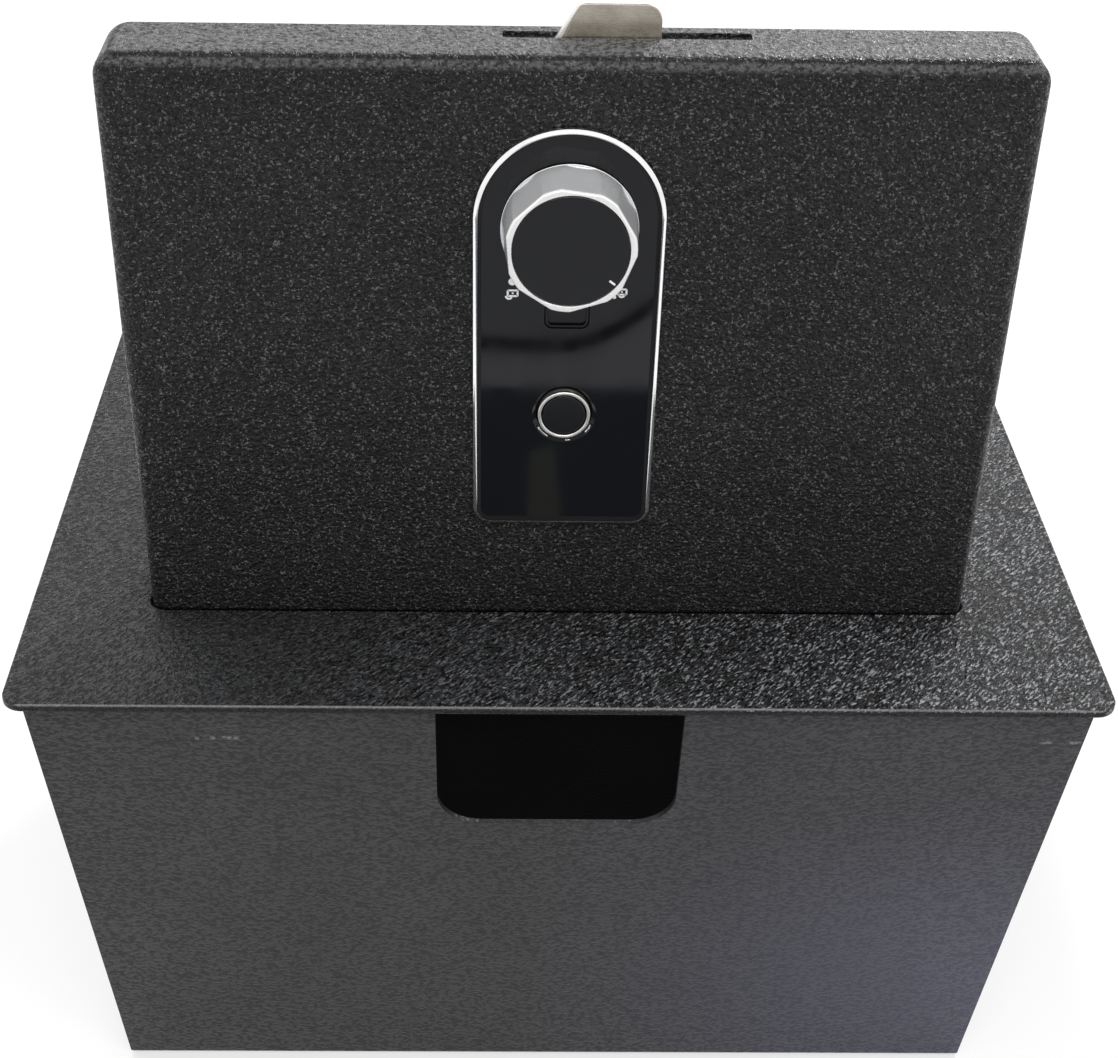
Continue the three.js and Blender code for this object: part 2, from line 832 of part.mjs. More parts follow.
function lockTongue() {
  const tip = lidHeight - knobHeight + tongueProjection;
  const shape = new THREE.Shape();
  shape.moveTo(tongueHubRadius, 0);
  shape.lineTo(tongueRight, tongueShoulderRise);
  const corner = tongueCornerRadius;
  shape.absarc(tongueRight - corner, tip - corner, corner, 0, Math.PI / 2);
  shape.lineTo(tongueTipLeft, tip);
  shape.lineTo(tongueTipLeft - tongueSlantRun, tip - tongueSlantRise);
  shape.lineTo(-tongueHubRadius, 0);
  shape.absarc(0, 0, tongueHubRadius, Math.PI, 2 * Math.PI);
  const plate = runningBack(shape, [tongueFront, tongueBack], fineSegments / 4);
  return atKnob(plate.subtract(rod(threadRadius + slideGap, [0, lidDepth])));
}

function tongueWasher() {
  const front = tongueBack + seatGap;
  const span = [front, front + washerThickness];
  return atKnob(tube(washerRadius, threadRadius + slideGap, span, fineSegments / 2));
}

function tongueNut() {
  const front = tongueBack + washerThickness + 2 * seatGap;
  const hexagonSides = 6;
  const cornerRadius = nutWidth / 2 / Math.cos(Math.PI / hexagonSides);
  const nut = rod(cornerRadius, [front, front + nutThickness], hexagonSides);
  return atKnob(nut.subtract(rod(threadRadius + slideGap, [0, lidDepth])));
}

// Lock housing: open at the front against the lid, with a battery bay open at the back
function lockHousing() {
  const acrossHousing = [-housingHalfWidth, housingHalfWidth];
  const acrossBay = [-bayHalfWidth, bayHalfWidth];
  const body = join(
    runningBack(
      roundedRect(acrossHousing, [housingBottom, housingTop], housingCornerRadius),
      [housingFront, housingUpperDepth],
    ),
    runningBack(
      roundedRect(acrossHousing, [housingBottom, housingShelf], housingCornerRadius),
      [housingFront, housingLowerDepth],
    ),
  );
  const screwCuts = screwPlaces.flatMap(({ x, height, seat }) => [
    rod(screwRadius + slideGap, [0, lidDepth]).translate([x, 0, height]),
    rod(screwHeadRadius + slideGap, [seat - screwHeadHeight - seatGap, seat + cutOverrun])
      .translate([x, 0, height]),
  ]);
  return cut(
    body,
    block(acrossBay, [0, frontBayDepth], [bayBottom, bayTop]),
    block(acrossBay, [0, upperBayDepth], [housingShelf + housingWall, bayTop]),
    block(acrossBay, [batteryBayFront, lidDepth], [bayBottom, batteryBayTop]),
    atKnob(rod(journalRadius + slideGap, [0, lidDepth], fineSegments / 2)),
    ...screwCuts,
  );
}

function housingScrew({ x, height, seat }) {
  return turned([
    [0, 0],
    [screwRadius, 0],
    [screwRadius, seat - screwHeadHeight],
    [screwHeadRadius, seat - screwHeadHeight],
    [screwHeadRadius, seat],
    [0, seat],
  ], coarseSegments).translate([x, 0, height]);
}

function circuitBoard() {
  const front = readerDepth + boardSetback;
  const half = bayHalfWidth - boardMargin;
  return block(
    [-half, half],
    [front, front + boardThickness],
    [bayBottom + boardMargin, knobHeight - discRadius - boardMargin],
  );
}

const solenoidBack = -bayHalfWidth + seatGap;
const solenoidFace = solenoidBack + solenoidLength;
const plungerTip = -discRadius - plungerClear;

function solenoid() {
  const coilBox = block(
    [solenoidBack, solenoidFace],
    [discMiddle - solenoidHalfDepth, upperBayDepth - seatGap],
    [-solenoidHalfHeight, solenoidHalfHeight],
  );
  const bore = alongX(rod(plungerRadius + slideGap, [solenoidFace - plungerHeld - seatGap, 0]));
  return atKnob(coilBox.subtract(bore.translate([0, discMiddle, 0])));
}

function plunger() {
  const pin = alongX(rod(plungerRadius, [solenoidFace - plungerHeld, plungerTip]));
  return atKnob(pin.translate([0, discMiddle, 0]));
}

const batteryPitch = 2 * batteryRadius + batterySpacing;
const batteryDepth = batteryBayFront + seatGap + batteryRadius;
const batteryLow = bayBottom + contactThickness + 2 * seatGap;

function batteryCell(index) {
  const overall = batteryLength + batteryTerminalHeight;
  const cell = alongZ(turned([
    [0, 0],
    [batteryRadius, 0],
    [batteryRadius, batteryLength],
    [batteryTerminalRadius, batteryLength],
    [batteryTerminalRadius, overall],
    [0, overall],
  ], coarseSegments));
  const faced = index % 2 ? cell.rotate([180, 0, 0]).translate([0, 0, overall]) : cell;
  return faced.translate([(index - (batteryCount - 1) / 2) * batteryPitch, batteryDepth, batteryLow]);
}

function contactPlate(low) {
  const half = bayHalfWidth - seatGap;
  return block(
    [-half, half],
    [batteryBayFront + seatGap, batteryDepth + batteryRadius],
    [low, low + contactThickness],
  );
}

function batteryCover() {
  const half = bayHalfWidth + coverOverlap;
  const outline = roundedRect(
    [-half, half],
    [bayBottom - coverOverlap, batteryBayTop + coverOverlap],
    coverOverlap,
  );
  const front = housingLowerDepth + seatGap;
  return runningBack(outline, [front, front + coverThickness]);
}

// The box and what it carries
addPiece(safe, 'top_plate', topPlate(), powderCoat);
addPiece(safe, 'body_wrap', bodyWrap(), powderCoat);
addPiece(safe, 'side_panel_left', sidePanel(-1), powderCoat);
addPiece(safe, 'side_panel_right', sidePanel(1), powderCoat);
addPiece(safe, 'floor_mat', floorMat(), foam);
addPiece(safe, 'keeper_angle', keeper(), powderCoat);
for (const [name, side] of [['left', -1], ['right', 1]]) {
  addPiece(safe, `lid_rest_${name}`, lidRest(side), powderCoat);
  addPiece(safe, `rest_bumper_${name}`, restBumper(side), rubber);
}

const atAxis = (solid) => solid.translate([0, axisY, axisZ]);
addPiece(safe, 'hinge_rail', atAxis(hingeRail()), powderCoat);
addPiece(safe, 'hinge_fixed_leaf', atAxis(hangDown(hingeLeaf(0, fixedLeafOffset))), powderCoat);
const hingePin = alongX(rod(hingePinRadius, [-hingeLength / 2, hingeLength / 2]));
addPiece(safe, 'hinge_pin', atAxis(hingePin), zincSteel);
const railStack = leafThickness + seatGap + railThickness;
const railFront = -fixedLeafOffset - seatGap - railThickness;
rivetPlaces.forEach((x, i) => {
  const place = [x, railFront, -rivetFromAxis];
  addPiece(safe, `rail_rivet_${i + 1}`, atAxis(rivet(railStack).translate(place)), zincSteel);
});

// The lid and what is fixed to it
const lidAxisHeight = -footAboveAxis;
const rimStack = leafThickness + seatGap + lidSheet;
addPiece(lid, 'lid_shell', lidShell(), powderCoat);
addPiece(lid, 'hinge_moving_leaf', hingeLeaf(1, movingLeafOffset).translate([0, axisSetback, lidAxisHeight]), powderCoat);
rivetPlaces.forEach((x, i) => {
  const place = [x, axisSetback + rivetFromAxis, lidAxisHeight + movingLeafOffset - leafThickness];
  addPiece(lid, `lid_rivet_${i + 1}`, alongZ(rivet(rimStack)).translate(place), zincSteel);
});
addPiece(lid, 'lock_bezel', lockBezel(), chrome);
addPiece(lid, 'lock_faceplate', lockFaceplate(), glossBlack);
addPiece(lid, 'fingerprint_ring', fingerprintRing(), chrome);
addPiece(lid, 'fingerprint_sensor', fingerprintSensor(), glossBlack);
addPiece(lid, 'power_port', powerPort(), mattPlastic);
addPiece(lid, 'lock_housing', lockHousing(), mattPlastic);
for (const place of screwPlaces) {
  addPiece(lid, `housing_screw_${place.name}`, housingScrew(place), zincSteel);
}
addPiece(lid, 'circuit_board', circuitBoard(), boardGreen);
addPiece(lid, 'solenoid', solenoid(), zincSteel);
addPiece(lid, 'contact_plate_lower', contactPlate(bayBottom + seatGap), brass);
addPiece(lid, 'contact_plate_upper', contactPlate(batteryBayTop - seatGap - contactThickness), brass);
for (let index = 0; index < batteryCount; index += 1) {
  addPiece(lid, `battery_cell_${index + 1}`, batteryCell(index), batteryJacket);
}

// What turns with the knob, and the pieces that move by themselves
addPiece(lid, 'knob_ring', knobRing(), satinMetal);
addPiece(lid, 'knob_spindle', knobSpindle(), zincSteel);
addPiece(lid, 'blocking_disc', blockingDisc(), zincSteel);
addPiece(lid, 'lock_tongue', lockTongue(), nickelSteel);
addPiece(lid, 'tongue_washer', tongueWasher(), zincSteel);
addPiece(lid, 'tongue_nut', tongueNut(), zincSteel);
addPiece(lid, 'knob_cap', knobCap(), glossBlack);
addPiece(lid, 'key_plug', keyPlug(), brass);
addPiece(lid, 'plunger', plunger(), zincSteel);
addPiece(lid, 'battery_cover', batteryCover(), mattPlastic);

export default safe;
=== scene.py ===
"""Looks of the console safe: finer pieces, finishes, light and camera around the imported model.

Shapes are drawn in millimetres in the model's own frame, x across, y to the rear and z up, and are
turned into metres when their mesh is made.
"""

import json
import math

import bmesh
import bpy
from mathutils import Matrix, Vector, noise

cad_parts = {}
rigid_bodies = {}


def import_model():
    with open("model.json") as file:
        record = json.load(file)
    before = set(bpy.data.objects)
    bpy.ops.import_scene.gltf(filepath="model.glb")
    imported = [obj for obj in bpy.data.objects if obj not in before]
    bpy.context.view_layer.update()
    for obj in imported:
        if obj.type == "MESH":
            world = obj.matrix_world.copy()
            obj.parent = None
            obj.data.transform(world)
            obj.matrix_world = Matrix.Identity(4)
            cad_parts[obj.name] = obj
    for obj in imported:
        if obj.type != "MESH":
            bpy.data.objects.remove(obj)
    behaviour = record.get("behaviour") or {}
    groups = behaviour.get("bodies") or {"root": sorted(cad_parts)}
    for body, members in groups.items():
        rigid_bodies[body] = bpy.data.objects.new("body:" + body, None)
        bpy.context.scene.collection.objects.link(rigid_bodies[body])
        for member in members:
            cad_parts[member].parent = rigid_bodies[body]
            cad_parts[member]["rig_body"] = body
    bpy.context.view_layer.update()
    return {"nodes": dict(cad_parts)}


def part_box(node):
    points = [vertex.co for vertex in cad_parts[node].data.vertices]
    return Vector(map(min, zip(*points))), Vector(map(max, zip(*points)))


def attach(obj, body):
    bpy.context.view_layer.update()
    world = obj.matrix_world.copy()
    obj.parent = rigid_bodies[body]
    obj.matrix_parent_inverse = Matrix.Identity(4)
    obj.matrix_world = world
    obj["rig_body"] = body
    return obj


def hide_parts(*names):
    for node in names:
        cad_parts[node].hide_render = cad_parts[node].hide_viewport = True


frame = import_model()

NODES = frame["nodes"]
MM = 0.001

# The photograph's camera: pixels, degrees and millimetres
IMAGE_WIDTH, IMAGE_HEIGHT = 1118, 1058
SENSOR_WIDTH = 36.0
FOCAL_PIXELS = 1963.8
CENTRE_PIXEL = (520.1, 637.3)
CAMERA_YAW, CAMERA_PITCH, CAMERA_ROLL = 1.016, 36.306, -0.975
CAMERA_PLACE = (-19.35, -551.1, 518.4)


def corners(node):
    """Lowest and highest corner of a CAD node in millimetres."""
    low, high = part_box(node)
    return low / MM, high / MM


PLATE_LOW, PLATE_HIGH = corners("top_plate")
LID_LOW, LID_HIGH = corners("lid_shell")
LID_FACE, LID_FOOT = LID_LOW.y, LID_LOW.z
BEZEL_LOW, BEZEL_HIGH = corners("lock_bezel")
FACEPLATE_LOW, FACEPLATE_HIGH = corners("lock_faceplate")
PORT_LOW, PORT_HIGH = corners("power_port")
PORT_ENDS, PORT_GAP = (PORT_LOW.xz, PORT_HIGH.xz), 0.4
READER_LOW, READER_HIGH = corners("fingerprint_sensor")
READER_Z = (READER_LOW.z + READER_HIGH.z) / 2
KNOB_LOW, KNOB_HIGH = corners("knob_ring")
KNOB_Z = (KNOB_LOW.z + KNOB_HIGH.z) / 2
CAP_LOW, CAP_HIGH = corners("knob_cap")
TONGUE_LOW, TONGUE_HIGH = corners("lock_tongue")


def placed(name, data):
    """Adds an object to the scene."""
    thing = bpy.data.objects.new(name, data)
    bpy.context.scene.collection.objects.link(thing)
    return thing


# Shader nodes

def plug(slot, value):
    """Gives a node's input a value, or the output that feeds it."""
    if isinstance(value, bpy.types.NodeSocket):
        slot.id_data.links.new(value, slot)
    else:
        slot.default_value = value


def new_node(tree, kind, **inputs):
    """Adds a node and fills its inputs, named with _ for each space."""
    node = tree.nodes.new("ShaderNode" + kind)
    for name, value in inputs.items():
        plug(node.inputs[name.replace("_", " ")], value)
    return node


def fed(node, *values):
    """The output of a node whose inputs take the values in turn."""
    for slot, value in zip(node.inputs, values):
        plug(slot, value)
    return node.outputs[0]


def calculated(tree, operation, *values):
    node = new_node(tree, "Math")
    node.operation = operation
    return fed(node, *values)


class Finish:
    """A procedural material, with short calls for the nodes that the finishes share."""

    def __init__(self, name, colour, roughness, metallic=0.0, **inputs):
        self.material = bpy.data.materials.new(name)
        self.material.use_nodes = True
        self.tree = self.material.node_tree
        self.tree.nodes.clear()
        self.shader = self.node("BsdfPrincipled")
        self.node("OutputMaterial", Surface=self.shader.outputs[0])
        self.coordinates = self.node("TexCoord").outputs["Object"]
        self.set(Base_Color=(*colour, 1), Roughness=roughness, Metallic=metallic, **inputs)

    def node(self, kind, **inputs):
        return new_node(self.tree, kind, **inputs)

    def set(self, **inputs):
        for name, value in inputs.items():
            plug(self.shader.inputs[name.replace("_", " ")], value)

    def mapped(self, lengths, turn=(0, 0, 0)):
        """Coordinates whose unit is lengths millimetres, for one or each axis, after a turn in degrees."""
        if isinstance(lengths, (int, float)):
            lengths = (lengths,) * 3
        turned_back = self.node("Mapping", Vector=self.coordinates, Rotation=[-math.radians(a) for a in turn])
        scale = [1 / (length * MM) for length in lengths]
        return self.node("Mapping", Vector=turned_back.outputs[0], Scale=scale).outputs[0]

    def noise(self, lengths, detail=2.0, roughness=0.5, distortion=0.0, turn=(0, 0, 0)):
        return self.node("TexNoise", Vector=self.mapped(lengths, turn), Scale=1, Detail=detail,
                         Roughness=roughness, Distortion=distortion).outputs[0]

    def cells(self, lengths, feature="F1"):
        node = self.node("TexVoronoi", Vector=self.mapped(lengths), Scale=1)
        node.feature = feature
        return node.outputs["Distance"]

    def remap(self, value, low, high, new_low=0.0, new_high=1.0):
        """A smooth step from new_low to new_high as the value goes from low to high."""
        node = self.node("MapRange", Value=value, From_Min=low, From_Max=high,
                         To_Min=new_low, To_Max=new_high)
        node.interpolation_type = "SMOOTHSTEP"
        return node.outputs[0]

    def math(self, operation, *values):
        return calculated(self.tree, operation, *values)

    def times(self, product, *others):
        for other in others:
            product = self.math("MULTIPLY", product, other)
        return product

    def blend(self, factor, first, second):
        node = self.node("Mix", Factor=factor)
        node.data_type = "RGBA"
        colours = [slot for slot in node.inputs if slot.type == "RGBA"]
        for slot, value in zip(colours, (first, second)):
            plug(slot, value if isinstance(value, bpy.types.NodeSocket) else (*value, 1))
        return next(slot for slot in node.outputs if slot.type == "RGBA")

    def bump(self, height, depth):
        """A normal from a height of 0 to 1 that stands for depth millimetres."""
        return self.node("Bump", Strength=1, Distance=depth * MM, Height=height).outputs[0]

    def place(self, axes):
        """The coordinates of a point along the axes, in millimetres."""
        node = self.node("SeparateXYZ", Vector=self.mapped(1))
        return [node.outputs[axis] for axis in axes]

    def dress(self, mask, colours, marks, roughness, depth):
        """Mixes two colours by a mask, and sets roughness and relief by marks."""
        self.set(Base_Color=self.blend(mask, *colours), Normal=self.bump(marks, depth),
                 Roughness=self.remap(marks, 0.3, 0.7, *roughness))
        return self


# Powder coat

FINE_LENGTH, FINE_SHARE = 0.42, 0.22
# Painted glints: the size of the pale specks, as a share of the grain
PAINTED_GLINT_LENGTH = 0.66
DRIFT_LENGTH, DRIFT = 38, 0.14
# Rubbed marks on the front wall: middle, half length and height in millimetres, and strength
SCUFFS = ((-93.7, 3.0, 163.6, 1.0), (-98.6, 0.9, 163.5, 1.0), (-103.1, 0.7, 163.5, 0.8),
          (139.2, 2.2, 163.7, 0.9), (147.7, 2.0, 163.6, 1.0))
PLATE_GRAIN_TURN = (0, 0, 50)


def coat(name, grain, turn, depth, shades, painted_glint_share, roughness=0.3, laid_over=(), specular=0.36):
    """Wrinkled powder coat.

    grain is the length of a wrinkle along each axis before it is turned, and depth is its height. The
    shades go from dark to light: the dark one is painted shade in the hollows of the relief, the light one
    is on its peaks. painted_glint_share says how much pale specks, painted glints, show, and laid_over
    lists functions that give the factor and the colour of a further shade.
    """
    dark, light = ((shade, shade * 1.02, shade * 1.08) for shade in shades)
    look = Finish(name, light, roughness, Specular_IOR_Level=specular)

    def lumps(share, detail):
        lengths = [length * share for length in grain]
        return look.remap(look.noise(lengths, detail, 0.5, 0.4, turn), 0.3, 0.7)

    height = look.math("ADD", look.times(lumps(1, 2), 1 - FINE_SHARE),
                       look.times(lumps(FINE_LENGTH, 1), FINE_SHARE))
    drift = look.remap(look.noise(DRIFT_LENGTH, 3), 0.3, 0.7)
    top = look.blend(drift, [(1 - DRIFT) * c for c in light], [(1 + DRIFT) * c for c in light])
    # Painted shade: the hollows of the relief take the dark shade and the peaks the light one
    base = look.blend(height, dark, top)
    # Painted glints: pale specks laid over the coat
    painted_glint_pattern = look.noise([length * PAINTED_GLINT_LENGTH for length in grain], 1.5, 0.7, 0, turn)
    base = look.blend(look.times(look.remap(painted_glint_pattern, 0.585, 0.69), painted_glint_share), base,
                      [c * 2 + 0.1 for c in light])
    for shade in laid_over:
        factor, colour = shade(look)
        base = look.blend(factor, base, colour)
    look.set(Base_Color=base, Normal=look.bump(height, depth),
             Roughness=look.remap(height, 0.25, 0.7, roughness + 0.24, roughness - 0.08))
    return look


def lid_painted_highlight(look):
    """Painted highlight: lighter coat on top of the lid, on the front of its upper bend and along its right
    edge.
    """
    x, z = look.place("XZ")
    top, right = LID_HIGH.z, LID_HIGH.x
    above = look.remap(z, top - 0.6, top - 0.1, 0, 0.72)
    band = look.times(look.remap(z, top - 3.8, top - 2.3, 0, 0.5),
                      look.remap(z, top - 1.6, top - 0.9, 1, 0))
    beside = look.remap(x, right - 1.5, right - 0.4, 0, 0.6)
    outer = look.math("MAXIMUM", look.math("MAXIMUM", above, band), beside)
    grain = look.remap(look.noise((1.3, 1.3, 1.0)), 0.36, 0.6, 0.1, 1)
    return look.times(outer, grain), (0.175, 0.175, 0.18)


def wall_painted_cool_light(look):
    """Painted light: the front wall cooler and lighter toward its lower right."""
    x, y, z = look.place("XYZ")
    across = look.remap(x, -20, 150)
    low = look.remap(z, 150, 40, 0.15, 1)
    front = look.remap(y, -60, -95, 0, 0.75)
    return look.times(across, low, front), (0.085, 0.085, 0.128)


def plate_spots(look, lengths, limits, across):
    """Spots of the plate's coat for its painted glints and its painted shade, whose share changes from left
    to right.
    """
    grain = look.noise(lengths, 1, 0.6, turn=PLATE_GRAIN_TURN)
    return look.times(look.remap(grain, *limits), look.remap(look.place("X")[0], *across))


def plate_painted_glints(look):
    """Painted glints: bright peaks of the coat, many toward the right of the plate and few on its left."""
    return plate_spots(look, (1.7, 0.6, 0.7), (0.54, 0.7), (-120, 110, 0.02, 1.0)), (0.40, 0.41, 0.44)


def plate_painted_dark_spots(look):
    """Painted shade: dark spots of the coat in front of the lid and to the right of it, where the lid darkens
    its reflections.
    """
    return plate_spots(look, (2.0, 0.7, 0.7), (0.52, 0.4), (-130, -40, 0.05, 1.0)), (0.001, 0.001, 0.001)


def plate_painted_edge_highlight(look):
    """Painted highlight on the upper arris of the plate's front edge."""
    y, z = look.place("YZ")
    front = look.remap(y, PLATE_LOW.y + 0.5, PLATE_LOW.y + 0.15)
    upper = look.remap(z, PLATE_HIGH.z - 0.75, PLATE_HIGH.z - 0.35)
    return look.times(front, upper, 0.8), (0.30, 0.30, 0.31)


def plate_painted_side_shade(look):
    """Painted shade on the lower part of the plate's front edge."""
    y, z = look.place("YZ")
    front = look.remap(y, PLATE_LOW.y + 0.6, PLATE_LOW.y + 0.3)
    lower = look.remap(z, PLATE_HIGH.z - 0.75, PLATE_HIGH.z - 1.1)
    return look.times(front, lower), (0.001, 0.001, 0.001)


def scuffs(look):
    """Short rubbed marks near the top of the front wall."""
    x, y, z = look.place("XYZ")

    def near(value, middle, solid, faded):
        off = look.math("ABSOLUTE", look.math("SUBTRACT", value, middle))
        return look.remap(off, solid, faded, 1, 0)

    marks = [look.times(near(x, middle, half * 0.6, half), near(z, height, 0.35, 0.9), strength)
             for middle, half, height, strength in SCUFFS]
    total = marks[0]
    for mark in marks[1:]:
        total = look.math("MAXIMUM", total, mark)
    front = look.remap(y, -100, -95, 1, 0)
    ragged = look.remap(look.noise((1.1, 1.1, 0.6), 3), 0.36, 0.56)
    return look.times(total, front, ragged), (0.17, 0.17, 0.16)


COATS = {
    "lid": coat("powder_coat_lid", (1.1, 1.6, 1.0), (0, 4, 0), 0.42, (0.001, 0.018), 1.0, 0.3,
                [lid_painted_highlight], 0.3),
    "plate": coat("powder_coat_plate", (1.6, 1.0, 0.7), PLATE_GRAIN_TURN, 0.8, (0.004, 0.044), 0.35, 0.24,
                  [plate_painted_dark_spots, plate_painted_glints, plate_painted_edge_highlight, plate_painted_side_shade], 0.3),
    "wall": coat("powder_coat_wall", (1.7, 1.1, 1.2), (0, 2, 0), 0.17, (0.021, 0.034), 0.08, 0.36,
                 [wall_painted_cool_light, scuffs], 0.31),
    # Painted shade: the inner coat is the powder coat darkened, for the pieces inside the box
    "inner": coat("powder_coat_inner_shaded", (0.9, 0.9, 0.9), (0, 0, 0), 0.3, (0.002, 0.014), 0.1),
}


# Other finishes

def gloss_black(name="gloss_black", roughness=0.035):
    colour = (0.0035, 0.0035, 0.004)
    look = Finish(name, colour, roughness, IOR=1.52)
    dust = look.remap(look.noise(0.5, 1), 0.74, 0.8)
    return look.dress(dust, (colour, (0.012, 0.012, 0.013)), look.noise(9, 1),
                      (roughness, roughness + 0.03), 0.004)


def metal(name, colour, roughness, grain=0.5, depth=0.004, spread=0.08, stain=0.88):
    """Metal with fine tool marks: grain is the length of a mark."""
    look = Finish(name, colour, roughness, 1.0)
    cloud = look.remap(look.noise(7, 3), 0.35, 0.7)
    return look.dress(cloud, (colour, [stain * c for c in colour]), look.noise(grain, 3, 0.6),
                      (roughness - spread / 2, roughness + spread), depth)


def satin_finish():
    """Satin plating of the knob: dull sides and a brighter turned edge round the front."""
    colour, metallic = (0.94, 0.945, 0.96), 0.6
    look = Finish("satin_metal", colour, 0.26, metallic)
    edge = look.remap(look.place("Y")[0], KNOB_LOW.y + 0.35, KNOB_LOW.y + 0.9, 1, 0)
    look.set(Metallic=look.remap(edge, 0, 1, metallic, 0.3))
    return look.dress(edge, (colour, (0.985, 0.98, 0.97)), look.noise(6), (0.24, 0.28), 0.004)


def scratched_nickel():
    """Plated steel of the tongue: faint scratches and wear across its face, painted shade on its front arris,
    bright sheared edges.
    """
    look = metal("nickel_steel", (0.56, 0.50, 0.41), 0.24, (5.0, 0.12, 0.12), 0.005)
    cloud = look.remap(look.noise(5, 4, 0.6), 0.35, 0.72)
    worn = look.blend(cloud, (0.80, 0.72, 0.60), (0.60, 0.53, 0.42))
    scratch = look.remap(look.noise((9, 0.1, 0.1), 1, 0.4, turn=(0, 4, 0)), 0.62, 0.74)
    face = look.blend(look.times(scratch, 0.35), worn, (0.36, 0.31, 0.24))
    front, back = TONGUE_LOW.y, TONGUE_HIGH.y
    across, depth = look.place("XY")
    # Painted shade: a dark band on the rounded front arris, left off at the bevel
    arris = look.times(look.remap(depth, front + 0.05, front + 0.16),
                       look.remap(depth, front + 0.5, front + 0.35), look.remap(across, 2.4, 3.4))
    face = look.blend(arris, face, (0.08, 0.07, 0.058))
    sheared = look.times(look.remap(depth, front + 0.3, front + 0.4),
                         look.remap(depth, back - 0.1, back - 0.3))
    look.set(Base_Color=look.blend(sheared, face, (0.95, 0.935, 0.90)),
             Metallic=look.remap(sheared, 0, 1, 0.85, 0.35))
    return look


def moulded_plastic():
    look = Finish("matt_plastic", (0.016, 0.0165, 0.018), 0.5)
    return look.dress(look.noise(14), ((0.013, 0.0135, 0.015), (0.021, 0.0215, 0.023)),
                      look.noise(0.35, 2, 0.7), (0.44, 0.6), 0.02)


def board_finish():
    """Green solder mask with copper tracks just showing below it."""
    look = Finish("circuit_board", (0.01, 0.07, 0.03), 0.35)
    tracks = look.remap(look.cells((3.2, 3.2, 1.1), "DISTANCE_TO_EDGE"), 0.05, 0.09)
    look.set(Base_Color=look.blend(tracks, (0.03, 0.16, 0.06), (0.008, 0.06, 0.028)),
             Normal=look.bump(tracks, 0.02))
    return look


def battery_finish():
    """Plain shrink jacket: dark grey with one copper-coloured band."""
    colour = (0.03, 0.035, 0.045)
    look = Finish("battery_jacket", colour, 0.25)
    top = corners("battery_cell_1")[1].z
    band = look.remap(look.place("Z")[0], top - 12.2, top - 12)
    return look.dress(band, (colour, (0.52, 0.27, 0.11)), look.noise((2, 2, 9)), (0.2, 0.34), 0.02)


def soft_finish(name, colour, roughness, cell, depth):
    """Rubber and foam: small pores in a dull surface."""
    look = Finish(name, colour, roughness, Sheen_Weight=0.12, Specular_IOR_Level=0.25)
    height = look.math("ADD", look.cells(cell), look.noise(cell / 3))
    look.set(Normal=look.bump(height, depth), Base_Color=look.blend(
        look.noise(22, 3), [0.75 * c for c in colour], [1.3 * c for c in colour]))
    return look


def paint_finish():
    look = Finish("legend_paint", (0.93, 0.94, 0.95), 0.5)
    look.set(Base_Color=look.blend(look.noise(0.4), (0.90, 0.91, 0.92), (0.97, 0.98, 0.99)))
    return look


FINISHES = {
    "gloss_black": gloss_black(),
    "sensor_black": gloss_black("sensor_black", 0.16),
    "ring_chrome": metal("ring_chrome", (0.88, 0.86, 0.80), 0.3, 2, 0.002, 0.04),
    "chrome": metal("chrome", (0.95, 0.95, 0.95), 0.11, 2, 0.001, 0.02, 0.97),
    "satin_metal": satin_finish(),
    "nickel_steel": scratched_nickel(),
    "zinc_steel": metal("zinc_steel", (0.50, 0.52, 0.55), 0.34, 1.4, 0.01, 0.14, 0.72),
    "matt_plastic": moulded_plastic(),
    "circuit_board": board_finish(),
    "battery_jacket": battery_finish(),
    "brass": metal("brass", (0.66, 0.46, 0.20), 0.26, (0.3, 2, 0.3)),
    "rubber": soft_finish("rubber", (0.012, 0.012, 0.012), 0.85, 0.5, 0.03),
    "foam": soft_finish("foam", (0.0028, 0.0028, 0.003), 0.95, 0.9, 0.18),
    "seal": soft_finish("seal", (0.003, 0.003, 0.0032), 0.8, 0.5, 0.01),
    "paint": paint_finish(),
}


# Shapes: each is a bmesh in millimetres

def arc(centre, radius, start, end, steps):
    """Points of an arc in degrees, anticlockwise from the first axis."""
    points = []
    for step in range(steps + 1):
        angle = math.radians(start + (end - start) * step / steps)
        points.append((centre[0] + radius * math.cos(angle), centre[1] + radius * math.sin(angle)))
    return points


def entering(radius, steps):
    """(inset, depth) points round an arris, from the face to the side."""
    return arc((radius, radius), radius, 270, 180, steps)


def leaving(radius, steps):
    """(inset, depth) points round an arris, from the side to the face."""
    return arc((radius, radius), radius, 180, 270, steps)


def cornered(low, high, inset, radii, steps):
    """An inset rectangle with its own radius and steps at each corner, anticlockwise from the lower right."""
    a0, b0, a1, b1 = low[0] + inset, low[1] + inset, high[0] - inset, high[1] - inset
    loop = []
    for index, (radius, count) in enumerate(zip(radii, steps)):
        centre = (a1 - radius if index < 2 else a0 + radius,
                  b1 - radius if index in (1, 2) else b0 + radius)
        loop += arc(centre, radius, 90 * index - 90, 90 * index, count)
    return loop


def rectangle(half, low, high):
    return [(-half, low), (half, low), (half, high), (-half, high)]


def rounded_rect(low, high, inset, radius, steps=10):
    return cornered(low, high, inset, (radius,) * 4, (steps,) * 4)


def facing(a, b, depth):
    """Puts a drawn point in the plane of the open lid's face."""
    return (a, depth, b)


def flat(a, b, depth):
    """Puts a drawn point in the plane of the top plate."""
    return (a, b, depth)


def on_lid(a, b, depth):
    """Puts a drawn point behind the lid's face, at a height above the lid's foot."""
    return (a, LID_FACE + depth, LID_FOOT + b)


def stack(outline_at, section, put=facing):
    """Rings of an outline for each (inset, depth) of a section."""
    return [[put(a, b, depth) for a, b in outline_at(inset)] for inset, depth in section]


def rounded_section(near, far, edge, steps):
    """A section from near to far with both arrises rounded."""
    way = 1 if far > near else -1
    section = [(inset, near + way * back) for inset, back in entering(edge, steps)]
    return section + [(inset, far - way * back) for inset, back in leaving(edge, steps)]


